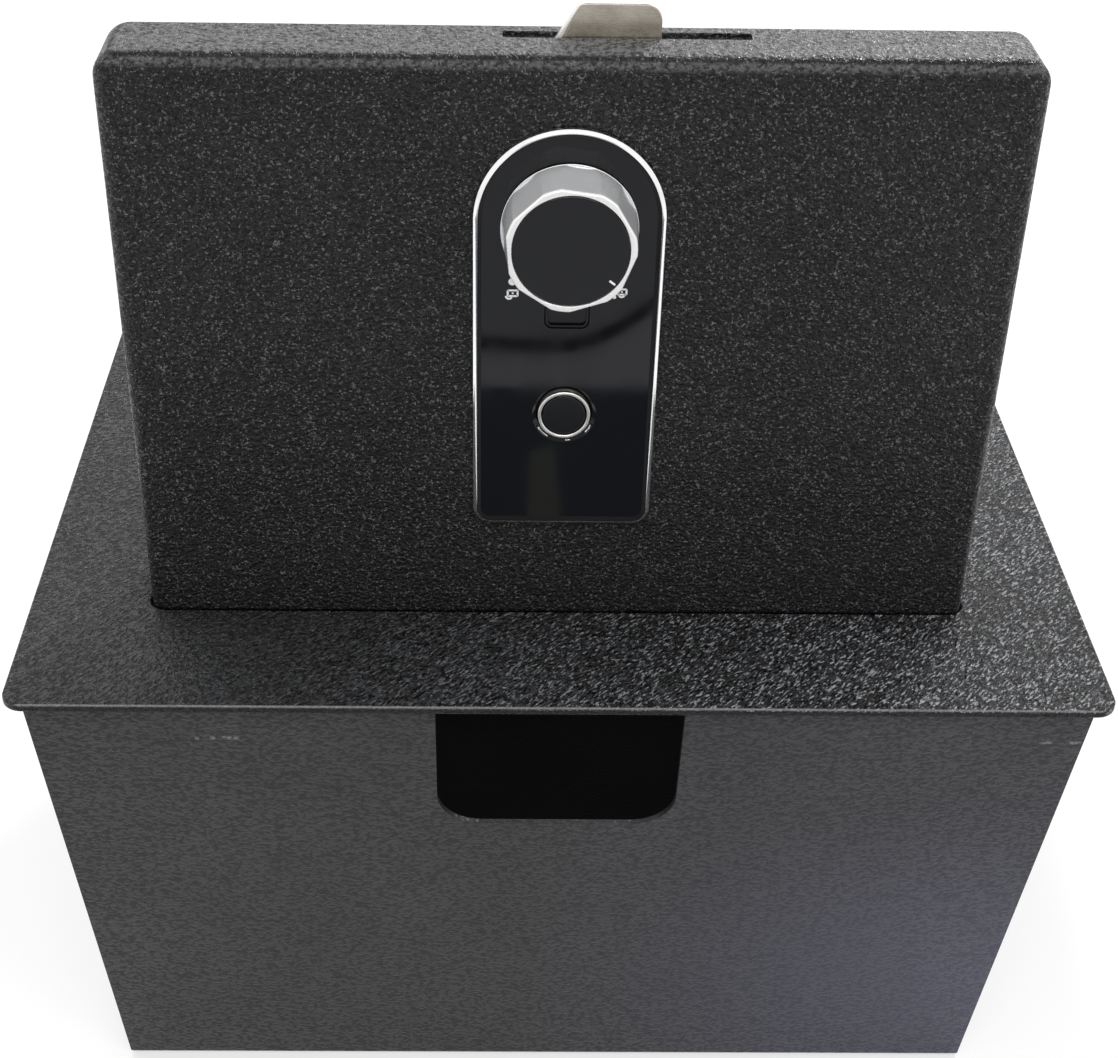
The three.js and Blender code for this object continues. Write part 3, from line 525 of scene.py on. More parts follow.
def lofted(rings, ring_closes=False, shape=None):
    """A body through loops of points or single points; its ends are capped, or it closes on itself."""
    shape = bmesh.new() if shape is None else shape
    loops = [[shape.verts.new(point) for point in ring] for ring in rings]
    pairs = list(zip(loops, loops[1:]))
    if ring_closes:
        pairs.append((loops[-1], loops[0]))
    else:
        shape.faces.new(loops[0])
        shape.faces.new(loops[-1])
    count = max(len(loop) for loop in loops)
    for first, second in pairs:
        for i in range(count):
            j = (i + 1) % count
            face = dict.fromkeys((first[i % len(first)], first[j % len(first)],
                                  second[j % len(second)], second[i % len(second)]))
            if len(face) > 2:
                shape.faces.new(list(face))
    bmesh.ops.recalc_face_normals(shape, faces=shape.faces)
    return shape


def prism(outline_at, low, high, edge, steps=3):
    """An outline between two depths with its arrises rounded; outline_at(inset) gives the loop."""
    return lofted(stack(outline_at, rounded_section(low, high, edge, steps)))


def punch(outline, low, high, put=facing, edge=0.01, shape=None):
    """A straight body from one outline, new or added to a shape."""
    return lofted(stack(lambda inset: outline, rounded_section(low, high, edge, 1), put), shape=shape)


def turned(profile, centre, segments=96):
    """A body turned about the Y axis through centre (x, z), from (radius, y) points."""
    rings = []
    for radius, y in profile:
        turns = [2 * math.pi * i / segments for i in range(segments if radius else 1)]
        rings.append([(centre[0] + radius * math.cos(a), y, centre[1] + radius * math.sin(a)) for a in turns])
    return lofted(rings, ring_closes=True)


def rod(radius, centre, low, high, segments=48):
    return turned([(0, low), (radius, low), (radius, high), (0, high)], centre, segments)


def swept(path, radius, wobble=0.0, sides=10):
    """A bead along a path of points, its section a little uneven by wobble."""
    points = [Vector(point) for point in path]
    rings = []
    for i, point in enumerate(points):
        before, after = points[max(i - 1, 0)], points[min(i + 1, len(points) - 1)]
        along = (after - before).normalized()
        across = along.cross(Vector((0.3, 0.5, 0.81))).normalized()
        other = along.cross(across)
        size = radius * (1 + wobble * noise.noise(point * 0.9))
        angles = [2 * math.pi * side / sides for side in range(sides)]
        rings.append([point + size * (across * math.cos(a) + other * math.sin(a)) for a in angles])
    return lofted(rings)


def temporary(shape):
    mesh = bpy.data.meshes.new("temporary")
    shape.to_mesh(mesh)
    return placed("temporary", mesh)


def minus(shape, *tools):
    """The shape less the tools."""
    target = temporary(shape)
    others = [temporary(tool) for tool in tools]
    for other in others:
        modifier = target.modifiers.new("cut", "BOOLEAN")
        modifier.operation = "DIFFERENCE"
        modifier.solver = "EXACT"
        modifier.object = other
    bpy.context.view_layer.update()
    left = bpy.data.meshes.new_from_object(
        target.evaluated_get(bpy.context.evaluated_depsgraph_get()))
    shape.clear()
    shape.from_mesh(left)
    for thing in [target, *others]:
        bpy.data.objects.remove(thing)
    return shape


def rounded(shape, width, segments=2, chosen=lambda edge: True, sharper_than=30):
    """Rounds the chosen edges that turn by more than an angle."""
    bmesh.ops.remove_doubles(shape, verts=shape.verts, dist=0.001)
    edges = [
        edge for edge in shape.edges
        if len(edge.link_faces) == 2
        and edge.calc_face_angle(0) > math.radians(sharper_than) and chosen(edge)
    ]
    bmesh.ops.bevel(shape, geom=edges, offset=width, segments=segments, profile=0.5,
                    affect="EDGES", clamp_overlap=True)
    return shape


def from_node(node):
    """The CAD node's own shape, with its flat faces merged."""
    shape = bmesh.new()
    shape.from_mesh(NODES[node].data)
    bmesh.ops.scale(shape, vec=(1 / MM,) * 3, verts=shape.verts)
    bmesh.ops.remove_doubles(shape, verts=shape.verts, dist=0.002)
    bmesh.ops.dissolve_limit(shape, angle_limit=math.radians(0.6), verts=shape.verts, edges=shape.edges)
    return shape


# Pieces

def add_piece(name, shape, look, body, nodes=(), crease=35):
    """Makes a piece from a shape: it rides on its body and stands for its CAD nodes."""
    bmesh.ops.scale(shape, vec=(MM,) * 3, verts=shape.verts)
    mesh = bpy.data.meshes.new(name)
    shape.to_mesh(mesh)
    shape.free()
    mesh.materials.clear()
    mesh.materials.append(look.material)
    mesh.shade_smooth()
    mesh.set_sharp_from_angle(angle=math.radians(crease))
    thing = placed(name, mesh)
    thing.modifiers.new("weighted_normals", "WEIGHTED_NORMAL").keep_sharp = True
    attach(thing, body)
    if nodes:
        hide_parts(*nodes)
    return thing


def stand_in(node, shape, look=None, crease=35):
    """Makes the piece that takes the place of one CAD node, on its body, with the finish of the node's slot
    unless a look is given.
    """
    slot = NODES[node].data.materials[0].name
    return add_piece(node + "_fine", shape, look or FINISHES[slot], NODES[node]["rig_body"], [node],
                     crease)


def refine(node, width, look=None, segments=2):
    """Stands a copy with rounded edges in the place of a CAD node."""
    stand_in(node, rounded(from_node(node), width, segments), look)


# The box

PLATE_CORNER, PLATE_ARRIS = 6.0, 0.6
OPENING_CORNER = 5.1
OPENING_HALF_WIDTH = 120.6
OPENING_FRONT, OPENING_REAR = -79.11, 99.41
BEND_RADIUS = 2.4
SHEET_EDGE = 0.35
SIDES = ("left", "right")
MAT_COLUMNS, MAT_ROWS = 60, 44
MAT_EDGE, MAT_SINK = 1.6, 0.45
ANCHOR_HOLES = [(x, y) for x in (-97.5, 97.5) for y in (-34.21, 56.81)]
ANCHOR_RADIUS = 4.0
WELD_RADIUS, WELD_STARTS, WELD_STEP = 1.3, (0.08, 0.36, 0.64), 0.0062


def add_top_plate():
    def outer(inset):
        return rounded_rect(PLATE_LOW, PLATE_HIGH, inset, PLATE_CORNER - inset)

    def inner(inset):
        return rounded_rect((-OPENING_HALF_WIDTH, OPENING_FRONT), (OPENING_HALF_WIDTH, OPENING_REAR), -inset,
                            OPENING_CORNER + inset)

    low, high = PLATE_LOW.z, PLATE_HIGH.z
    rings = stack(outer, rounded_section(low, high, PLATE_ARRIS, 4), flat)
    rings += stack(inner, rounded_section(high, low, PLATE_ARRIS, 4), flat)
    stand_in("top_plate", lofted(rings, ring_closes=True), COATS["plate"])


def runs_across_at_floor(edge):
    first, second = (v.co for v in edge.verts)
    along = second - first
    return abs(along.x) > 20 * (abs(along.y) + abs(along.z)) and max(first.z, second.z) < 0.01


def add_body_wrap():
    shape = rounded(from_node("body_wrap"), BEND_RADIUS, 6, runs_across_at_floor)
    stand_in("body_wrap", rounded(shape, SHEET_EDGE), COATS["wall"])


def add_floor_mat():
    """Foam mat: soft edges and a surface that isn't quite level."""
    low, high = corners("floor_mat")
    shape = bmesh.new()

    def grid(level):
        xs = [low.x + (high.x - low.x) * i / MAT_COLUMNS for i in range(MAT_COLUMNS + 1)]
        ys = [low.y + (high.y - low.y) * j / MAT_ROWS for j in range(MAT_ROWS + 1)]
        return [[shape.verts.new((x, y, level(x, y))) for x in xs] for y in ys]

    def top(x, y):
        inside = min(x - low.x, high.x - x, y - low.y, high.y - y)
        fall = MAT_EDGE * max(0.0, 1 - inside / 4) ** 2
        wave = 0.35 * noise.noise(Vector((x, y, 0)) * 0.018) + 0.12 * noise.noise(Vector((x, y, 9)) * 0.07)
        return high.z - MAT_SINK - fall + wave

    upper, lower = grid(top), grid(lambda x, y: low.z)
    for j in range(MAT_ROWS):
        for i in range(MAT_COLUMNS):
            shape.faces.new((upper[j][i], upper[j][i + 1], upper[j + 1][i + 1], upper[j + 1][i]))
            shape.faces.new((lower[j][i], lower[j + 1][i], lower[j + 1][i + 1], lower[j][i + 1]))
    rim = [(0, i) for i in range(MAT_COLUMNS)] + [(j, MAT_COLUMNS) for j in range(MAT_ROWS)]
    rim += [(MAT_ROWS, i) for i in range(MAT_COLUMNS, 0, -1)] + [(j, 0) for j in range(MAT_ROWS, 0, -1)]
    for (j, i), (l, k) in zip(rim, rim[1:] + rim[:1]):
        shape.faces.new((upper[j][i], lower[j][i], lower[l][k], upper[l][k]))
    bmesh.ops.recalc_face_normals(shape, faces=shape.faces)
    holes = [punch(arc(centre, ANCHOR_RADIUS, 0, 345, 23), low.z - 2, high.z + 2, flat)
             for centre in ANCHOR_HOLES]
    mat = add_piece("floor_mat_soft", minus(shape, *holes), FINISHES["foam"], "base",
                    ["floor_mat"], crease=50)


def inner_corner(side, front):
    """Lowest and highest point of an upright inner corner, where a side panel meets the wall."""
    points = [v.co / MM for v in NODES[f"side_panel_{side}"].data.vertices]
    way = 1 if side == "left" else -1
    ends = []
    for level in (min(p.z for p in points), max(p.z for p in points)):
        near = [p for p in points if abs(p.z - level) < 0.5]
        x = max(p.x * way for p in near) * way
        inside = [p.y for p in near if abs(p.x - x) < 0.5]
        ends.append(Vector((x, min(inside) if front else max(inside), level)))
    return ends


def add_welds():
    """Short weld beads in the upright corners inside the box."""
    for side in SIDES:
        for where in ("front", "rear"):
            low, high = inner_corner(side, where == "front")
            for index, start in enumerate(WELD_STARTS):
                path = [low.lerp(high, start + WELD_STEP * step) for step in range(21)]
                add_piece(f"weld_{side}_{where}_{index + 1}", swept(path, WELD_RADIUS, 0.5), COATS["inner"],
                          "base")


# Rivets and screws

RIVET_HEAD, RIVET_SHANK = 0.9, 1.6
SCREW_SHANK, SCREW_HEAD, SCREW_HEAD_HEIGHT, SCREW_EDGE = 1.5, 2.7, 1.7, 0.5
SCREW_ARM, SCREW_SLOT, SCREW_RECESS = 1.65, 0.36, 1.0


def add_rivets():
    for node in sorted(node for node in NODES if "rivet" in node):
        low, high = corners(node)
        size = high - low
        upright = size.z > size.y
        half = (size.z if upright else size.y) / 2
        radius, under = size.x / 2, half - RIVET_HEAD
        dome = [(radius * math.cos(a), under + RIVET_HEAD * math.sin(a))
                for a in map(math.radians, range(0, 90, 11))]
        profile = [(0, -half)] + [(r, -y) for r, y in reversed(dome)]
        profile += [(RIVET_SHANK, -under), (RIVET_SHANK, under)] + dome + [(0, half)]
        shape = turned(profile, (0, 0), 32)
        if upright:
            bmesh.ops.rotate(shape, matrix=Matrix.Rotation(math.pi / 2, 3, "X"), verts=shape.verts)
        bmesh.ops.translate(shape, vec=(low + high) / 2, verts=shape.verts)
        stand_in(node, shape)


def add_screws():
    for node in sorted(node for node in NODES if node.startswith("housing_screw")):
        low, high = corners(node)
        x, z = (low.x + high.x) / 2, (low.z + high.z) / 2
        seat, top = high.y - SCREW_HEAD_HEIGHT, high.y
        profile = [(0, low.y), (1.2, low.y), (SCREW_SHANK, low.y + 0.4), (SCREW_SHANK, seat),
                   (SCREW_HEAD, seat)]
        profile += arc((SCREW_HEAD - SCREW_EDGE, top - SCREW_EDGE), SCREW_EDGE, 0, 90, 6) + [(0, top)]
        arms = [punch(rounded_rect((x - long, z - short), (x + long, z + short), 0, 0.15, 2),
                      top - SCREW_RECESS, top + 1)
                for long, short in ((SCREW_ARM, SCREW_SLOT), (SCREW_SLOT, SCREW_ARM))]
        stand_in(node, minus(turned(profile, (x, z), 40), *arms))


# The lid

LID_ENDS = ((-LID_HIGH.x, 0), (LID_HIGH.x, LID_HIGH.z - LID_FOOT))
LID_DEPTH, LID_SHEET = 23.4, 2.5
LID_TOP_BEND, LID_FOOT_BEND, LID_INNER_BEND = 4.5, 2.6, 1.2
LID_CORNER, LID_FRONT_CORNER, LID_FOOT_CORNER = 7.5, 5.0, 3.0
LID_RIM_EDGE = 0.6
LID_CORNER_STEPS, LID_BEND_STEPS = 12, 14
SLOT_LEFT, SLOT_RIGHT, SLOT_CORNER = -17.7, 45.4, 0.8
KNOB_HOLE, READER_HOLE, SCREW_HOLE, RIVET_HOLE = 6.7, 7.0, 1.7, 1.8


def lid_bend(share):
    """Loop on the front bend, which is wider at the top of the lid than at its foot."""
    turn = math.radians(90 * share)
    spread = (1 - math.sin(turn), 1 - math.cos(turn))
    foot_inset, foot_depth = (LID_FOOT_BEND * part for part in spread)
    top_inset, top_depth = (LID_TOP_BEND * part for part in spread)
    foot_corner = max(LID_FOOT_CORNER - foot_inset, 0.4)
    top_corner = LID_FRONT_CORNER + (LID_CORNER - LID_FRONT_CORNER) * share - 0.45 * top_inset

    def loop(inset, radius, depth):
        return [on_lid(a, b, depth) for a, b in rounded_rect(*LID_ENDS, inset, radius, LID_CORNER_STEPS)]

    foot, top = loop(foot_inset, foot_corner, foot_depth), loop(top_inset, top_corner, top_depth)
    count = LID_CORNER_STEPS + 1
    return foot[:count] + top[count:3 * count] + foot[3 * count:]


def lid_rim(inset):
    """Outline of the rim: small corners at the foot, wide ones above."""
    small, wide = max(LID_FOOT_CORNER - inset, 0.4), LID_CORNER - inset
    return cornered(*LID_ENDS, inset, (small, wide, wide, small), (LID_CORNER_STEPS,) * 4)


def add_lid_shell():
    rings = [lid_bend(step / LID_BEND_STEPS) for step in range(LID_BEND_STEPS + 1)]
    section = [(inset, LID_DEPTH - back) for inset, back in leaving(LID_RIM_EDGE, 4)]
    section += [(LID_SHEET - outset, LID_DEPTH - back) for outset, back in entering(LID_RIM_EDGE, 4)]
    section += arc((LID_SHEET + LID_INNER_BEND,) * 2, LID_INNER_BEND, 180, 270, 4)
    shape = lofted(rings + stack(lid_rim, section, on_lid))
    near, far = LID_FACE - 2, LID_FACE + 6
    tools = [rod(KNOB_HOLE, (0, KNOB_Z), near, far), rod(READER_HOLE, (0, READER_Z), near, far),
             punch(rounded_rect(*PORT_ENDS, -PORT_GAP, 1.0, 3), near, far)]
    for node in sorted(NODES):
        low, high = corners(node)
        middle = (low + high) / 2
        if node.startswith("housing_screw"):
            tools.append(rod(SCREW_HOLE, (middle.x, middle.z), near, far))
        if node.startswith("lid_rivet"):
            tools.append(punch(arc((middle.x, middle.y), RIVET_HOLE, 0, 345, 23),
                               LID_FOOT - 2, LID_FOOT + 5, flat))
    slot = rounded_rect((SLOT_LEFT, TONGUE_LOW.y - 0.8), (SLOT_RIGHT, TONGUE_HIGH.y + 1.0), 0, SLOT_CORNER, 3)
    tools.append(punch(slot, LID_HIGH.z - 6, LID_HIGH.z + 4, flat))
    stand_in("lid_shell", minus(shape, *tools), COATS["lid"], crease=28)


# The lock panel

PANEL_CORNER, PANEL_HALF = 5.0, 25.0
FACEPLATE_MARGIN = 1.4
# The bezel's crest and the turn between its two slopes, in from its edge, and the slopes in degrees
BEZEL_CREST, BEZEL_TURN, BEZEL_STEPS = 1.14, 0.85, 18
BEZEL_STEEP, BEZEL_MIDDLE, BEZEL_LEVEL = 46, 29, 20
READER_DISH, READER_BORE = 8.75, 7.0
RING_INNER, RING_SLEEVE, RING_CROWN = 6.2, 6.8, 0.5
SENSOR_RADIUS, SENSOR_EDGE, SENSOR_FLANGE = 5.9, 0.3, 2.3
# Chrome clips round the reader that stand in for glints of light in its dish, as angles from the right
READER_GLINT_CLIPS = ((208, 236), (274, 284), (319, 338))
CLIP_RADIUS, CLIP_DEPTH, CLIP_INSET = 0.26, 0.45, 0.75
PORT_WALL, PORT_LIP, PORT_FLOOR = 0.7, 0.15, 0.9


def panel_loop(inset):
    """Outline of the lock panel: an arch above, two small corners below."""
    half, low = PANEL_HALF - inset, BEZEL_LOW.z + inset
    corner = max(PANEL_CORNER - inset, 0.2)
    return (
        arc((half - corner, low + corner), corner, -90, 0, 8)
        + arc((0, BEZEL_HIGH.z - PANEL_HALF), half, 0, 180, 120)
        + arc((-half + corner, low + corner), corner, 180, 270, 8)
    )


def bezel_steepness(inset):
    if inset < BEZEL_TURN:
        return BEZEL_STEEP - (BEZEL_STEEP - BEZEL_MIDDLE) * inset / BEZEL_TURN
    share = (inset - BEZEL_TURN) / (BEZEL_CREST - BEZEL_TURN)
    return BEZEL_MIDDLE - (BEZEL_MIDDLE - BEZEL_LEVEL) * share


def add_bezel():
    """Bright rim, steep at its edge and flatter toward a crest at the faceplate, and a dark seal in it."""
    front, back, glass = BEZEL_LOW.y, BEZEL_HIGH.y, FACEPLATE_LOW.y
    slope, rise = [], 0.0
    for step in range(BEZEL_STEPS + 1):
        inset = BEZEL_CREST * step / BEZEL_STEPS
        slope.append((inset, rise))
        rise += BEZEL_CREST / BEZEL_STEPS * math.tan(math.radians(bezel_steepness(inset)))
    high = slope[-1][1]
    section = [(0.0, back)] + [(inset, front + high - done) for inset, done in slope]
    section += [(BEZEL_CREST + 0.02, front + 0.02), (BEZEL_CREST + 0.02, back)]
    stand_in("lock_bezel", lofted(stack(panel_loop, section), ring_closes=True), crease=50)
    lip = [(inset + BEZEL_CREST, y) for inset, y in (
        (0.04, glass + 0.3), (0.04, front + 0.08), (0.12, front + 0.03), (0.4, front + 0.14),
        (0.9, glass - 0.12), (1.1, glass + 0.02), (1.1, glass + 0.3))]
    seal = lofted(stack(panel_loop, lip), ring_closes=True)
    add_piece("panel_seal", seal, FINISHES["seal"], "lid")


def add_faceplate():
    front, back = FACEPLATE_LOW.y, FACEPLATE_HIGH.y
    shape = prism(lambda inset: panel_loop(FACEPLATE_MARGIN + inset), front, back, 0.15, 1)
    dish = [(0, front - 2), (READER_DISH + 1.5, front - 2), (READER_DISH, front),
            (READER_DISH - 0.6, front + 0.3), (READER_BORE, front + 0.62), (READER_BORE, back + 2),
            (0, back + 2)]
    tools = [rod(KNOB_HOLE, (0, KNOB_Z), front - 2, back + 2, 72), turned(dish, (0, READER_Z)),
             punch(port_loop(-0.2), front - 2, back + 2)]
    stand_in("lock_faceplate", minus(shape, *tools), crease=12)


def port_loop(inset):
    """Outline of the power socket: wide corners below, small ones above."""
    wide, small = max(1.9 - inset, 0.3), max(0.7 - inset, 0.2)
    return cornered(*PORT_ENDS, inset, (wide, small, small, wide), (6, 3, 3, 6))


def add_port():
    """Socket with rounded corners, a thin wall and a smooth floor."""
    front, rounding = PORT_LOW.y, 0.05
    section = [(0.0, PORT_HIGH.y), (0.0, front + PORT_LIP), (rounding, front + rounding), (PORT_LIP, front),
               (PORT_WALL - PORT_LIP, front), (PORT_WALL - rounding, front + rounding),
               (PORT_WALL, front + PORT_LIP), (PORT_WALL, front + PORT_FLOOR)]
    stand_in("power_port", lofted(stack(port_loop, section)), FINISHES["sensor_black"])


def add_reader():
    centre = (0, READER_Z)
    low, high = corners("fingerprint_ring")
    front, seat = low.y, low.y + RING_CROWN
    band = (high.x - RING_INNER) / 2
    profile = [(RING_INNER + band + band * math.cos(a), seat - RING_CROWN * math.sin(a))
               for a in map(math.radians, range(180, -1, -15))]
    profile += [(RING_SLEEVE, seat), (RING_SLEEVE, high.y), (RING_INNER, high.y)]
    stand_in("fingerprint_ring", turned(profile, centre, 128), FINISHES["ring_chrome"])
    for index, (start, end) in enumerate(READER_GLINT_CLIPS):
        path = [(a, front + CLIP_DEPTH, b) for a, b in arc(centre, READER_DISH - CLIP_INSET, start, end, 8)]
        add_piece(f"reader_glint_clip_{index + 1}", swept(path, CLIP_RADIUS), FINISHES["chrome"], "lid")
    front, back = READER_LOW.y, READER_HIGH.y
    face, flange = SENSOR_RADIUS - SENSOR_EDGE, back - SENSOR_FLANGE
    profile = [(0, front), (SENSOR_RADIUS * 0.5, front), (face, front)]
    profile += [(face + a, front + SENSOR_EDGE - b) for a, b in arc((0, 0), SENSOR_EDGE, 75, 0, 4)]
    profile += [(SENSOR_RADIUS, flange), (READER_HIGH.x, flange), (READER_HIGH.x, back), (0, back)]
    stand_in("fingerprint_sensor", turned(profile, centre, 128), FINISHES["sensor_black"], crease=40)


# The knob

KNOB_FRONT_RADIUS, KNOB_BASE_RADIUS = 16.9, 17.9
KNOB_RECESS, KNOB_BORE = 15.2, 6.5
KNOB_EDGE, KNOB_FOOT, KNOB_CHAMFER = 0.7, 0.35, 0.12
FLAT_COUNT, FLAT_DEGREES, FIRST_FLAT = 7, 34.0, 8.0
FLAT_STEPS, ROUND_STEPS, KNOB_SIDE_STEPS = 20, 14, 11
CAP_RADIUS, CAP_EDGE, CAP_DISH = 15.0, 0.45, 0.02


def add_knob():
    front, base = KNOB_LOW.y, KNOB_HIGH.y
    recess_floor = CAP_HIGH.y + 0.3
    pitch = 360 / FLAT_COUNT
    sagitta = 1 - math.cos(math.radians(FLAT_DEGREES / 2))
    angles = []
    for middle in (FIRST_FLAT + i * pitch for i in range(FLAT_COUNT)):
        angles += [middle + FLAT_DEGREES * (step / FLAT_STEPS - 0.5) for step in range(FLAT_STEPS)]
        angles += [middle + FLAT_DEGREES / 2 + (pitch - FLAT_DEGREES) * step / ROUND_STEPS
                   for step in range(ROUND_STEPS)]

    def outside(y, clock, less):
        if y > base - KNOB_FOOT:
            return KNOB_BASE_RADIUS - less
        share = (y - front) / (base - front)
        cone = KNOB_FRONT_RADIUS + (KNOB_BASE_RADIUS - 0.1 - KNOB_FRONT_RADIUS) * share
        distance = cone * (1 - sagitta * (1 - 0.5 * share ** 3))
        off = (clock - FIRST_FLAT + pitch / 2) % pitch - pitch / 2
        return min(cone, distance / math.cos(math.radians(off))) - less

    def ring(y, less=0.0, radius=None):
        sizes = [radius or outside(y, clock, less) for clock in angles]
        return [(size * math.sin(math.radians(clock)), y, KNOB_Z + size * math.cos(math.radians(clock)))
                for size, clock in zip(sizes, angles)]

    foot = base - KNOB_FOOT
    side = foot - front - KNOB_EDGE
    rings = [ring(recess_floor, radius=KNOB_RECESS), ring(front + KNOB_CHAMFER, radius=KNOB_RECESS),
             ring(front, radius=KNOB_RECESS + KNOB_CHAMFER)]
    rings += [ring(front + back, less) for less, back in entering(KNOB_EDGE, 8)]
    rings += [ring(front + KNOB_EDGE + side * step / KNOB_SIDE_STEPS)
              for step in range(1, KNOB_SIDE_STEPS + 1)]
    rings += [ring(foot + 0.01, KNOB_CHAMFER), ring(foot + KNOB_CHAMFER), ring(base - KNOB_CHAMFER),
              ring(base - 0.01, KNOB_CHAMFER)]
    rings += [ring(base, radius=KNOB_BORE), ring(recess_floor, radius=KNOB_BORE)]
    stand_in("knob_ring", lofted(rings, ring_closes=True), crease=14)


def add_knob_cap():
    front, back = CAP_LOW.y, CAP_HIGH.y
    profile = [(r, front + CAP_DISH * (1 - r / CAP_RADIUS)) for r in (0, 5.0, 10.0, 13.0)]
    profile += [(CAP_RADIUS - inset, front + depth) for inset, depth in entering(CAP_EDGE, 6)]
    profile += [(CAP_RADIUS, back - 0.2), (CAP_RADIUS - 0.2, back), (0, back)]
    stand_in("knob_cap", turned(profile, (0, KNOB_Z), 160), crease=50)


# Legends: a pointer on the cap, and a closed and an open padlock beside the knob

LEGEND_RISE = 0.03
POINTER_DEGREES, POINTER_ENDS, POINTER_WIDTH = -38, (12.7, 14.55), 0.55


def stroke(points, width):
    """Flat band of even width along drawn points."""
    left, right = [], []
    for i, (a, b) in enumerate(points):
        (a0, b0), (a1, b1) = points[max(i - 1, 0)], points[min(i + 1, len(points) - 1)]
        length = math.hypot(a1 - a0, b1 - b0)
        na, nb = -(b1 - b0) / length * width / 2, (a1 - a0) / length * width / 2
        left.append((a + na, b + nb))
        right.append((a - na, b - nb))
    return left + right[::-1]


def legend(name, outlines, body, front):
    """Thin print on a flat face at depth front."""
    shape = bmesh.new()
    for outline in outlines:
        punch(outline, front - LEGEND_RISE, front + LEGEND_RISE, edge=0.001, shape=shape)
    add_piece(name, shape, FINISHES["paint"], body)


def padlock(centre, size, shut):
    """Outlines of a padlock whose shackle hangs down, drawn as print."""
    x, z = centre
    half, line = size / 2, size * 0.2
    top, low = z + half * 0.8, z - half * 0.45
    body = [(x - half, low), (x + half, low), (x + half, top), (x - half, top)]
    closed = body + body[:2]
    shift, end = (0.0, 360) if shut else (-half * 0.75, 335)
    hoop = arc((x + shift, low), half * 0.62, 180, end, 12)
    keyhole = arc((x, (top + low) / 2), half * 0.22, 0, 330, 11)
    return [stroke(closed[i:i + 2], line) for i in range(4)] + [stroke(hoop, line), keyhole]


def add_legends():
    front = FACEPLATE_LOW.y
    legend("legend_open", padlock((-14.5, 284.65), 2.6, False) + [arc((-14.6, 288.2), 1.05, 0, 345, 23)],
           "lid", front)
    legend("legend_shut", padlock((14.3, 285.3), 2.4, True) + [arc((12.4, 284.0), 0.5, 0, 330, 11)],
           "lid", front)
    way = math.radians(POINTER_DEGREES)
    line = [(r * math.cos(way), KNOB_Z + r * math.sin(way)) for r in POINTER_ENDS]
    legend("cap_pointer", [stroke(line, POINTER_WIDTH)], "cap", CAP_LOW.y + LEGEND_RISE)


# Tongue and battery cover

HUB_RADIUS, TONGUE_HOLE = 9.5, 3.2
TONGUE_RIGHT, TONGUE_CORNER, TONGUE_SHOULDER = 22.4, 4.5, 30.0
TONGUE_TIP_LEFT, TONGUE_SMALL_CORNER = 1.7, 2.5
TONGUE_SLANT_RUN, TONGUE_SLANT_RISE = 11.7, 17.9
RIDGE_COUNT, RIDGE_PITCH, RIDGE_FIRST = 6, 2.2, 5
RIDGE_HALF, RIDGE_WIDTH, RIDGE_HEIGHT = 9, 1.0, 0.45


def tongue_loop(inset):
    """Outline of the tongue about the knob's axis."""
    tip = TONGUE_HIGH.z - KNOB_Z
    slant = math.atan2(TONGUE_SLANT_RISE, TONGUE_SLANT_RUN)
    back = TONGUE_SMALL_CORNER * math.tan(slant / 2)
    centre = (TONGUE_TIP_LEFT + back, tip - TONGUE_SMALL_CORNER)
    outline = [(HUB_RADIUS - inset, 0), (TONGUE_RIGHT - inset, TONGUE_SHOULDER)]
    outline += arc((TONGUE_RIGHT - TONGUE_CORNER, tip - TONGUE_CORNER), TONGUE_CORNER - inset, 0, 90, 12)
    outline += arc(centre, TONGUE_SMALL_CORNER - inset, 90, 90 + math.degrees(slant), 8)
    outline += [(TONGUE_TIP_LEFT - TONGUE_SLANT_RUN + inset, tip - TONGUE_SLANT_RISE)]
    outline += arc((0, 0), HUB_RADIUS - inset, 180, 360, 32)
    return [(a, KNOB_Z + b) for a, b in outline[:-1]]


def slab_over(first, second, third, size):
    """A body on the far side of the plane through three points, to be taken off."""
    first, second, third = map(Vector, (first, second, third))
    along = (second - first).normalized()
    normal = (second - first).cross(third - first).normalized()
    across = normal.cross(along)
    loop = [first + size * (a * along + b * across) for a, b in rectangle(1, -1, 1)]
    return lofted([loop, [point + 6 * normal for point in loop]])


def add_tongue():
    """Tongue with a bevel at the upper left of its face."""
    front, back, top = TONGUE_LOW.y, TONGUE_HIGH.y, TONGUE_HIGH.z
    hole = rod(TONGUE_HOLE, (0, KNOB_Z), front - 2, back + 2)
    ramp = slab_over((2.2, front, top), (-3.9, front + 1.0, top - 8.5), (-2.1, front, top - 8.5), 30)
    stand_in("lock_tongue", minus(prism(tongue_loop, front, back, 0.3), hole, ramp))


def add_cover_ridges():
    """Grip ridges across the battery cover."""
    low, high = corners("battery_cover")
    for index in range(RIDGE_COUNT):
        z = low.z + RIDGE_FIRST + RIDGE_PITCH * index

        def outline(inset):
            return rounded_rect((-RIDGE_HALF, z - RIDGE_WIDTH / 2), (RIDGE_HALF, z + RIDGE_WIDTH / 2), inset,
                                0.45 - min(inset, 0.3), 4)

        add_piece(f"cover_ridge_{index + 1}", prism(outline, high.y - 0.2, high.y + RIDGE_HEIGHT, 0.25),
                  FINISHES["matt_plastic"], "cover")


# Stage, light and camera

FLOOR_HALF = 4.0
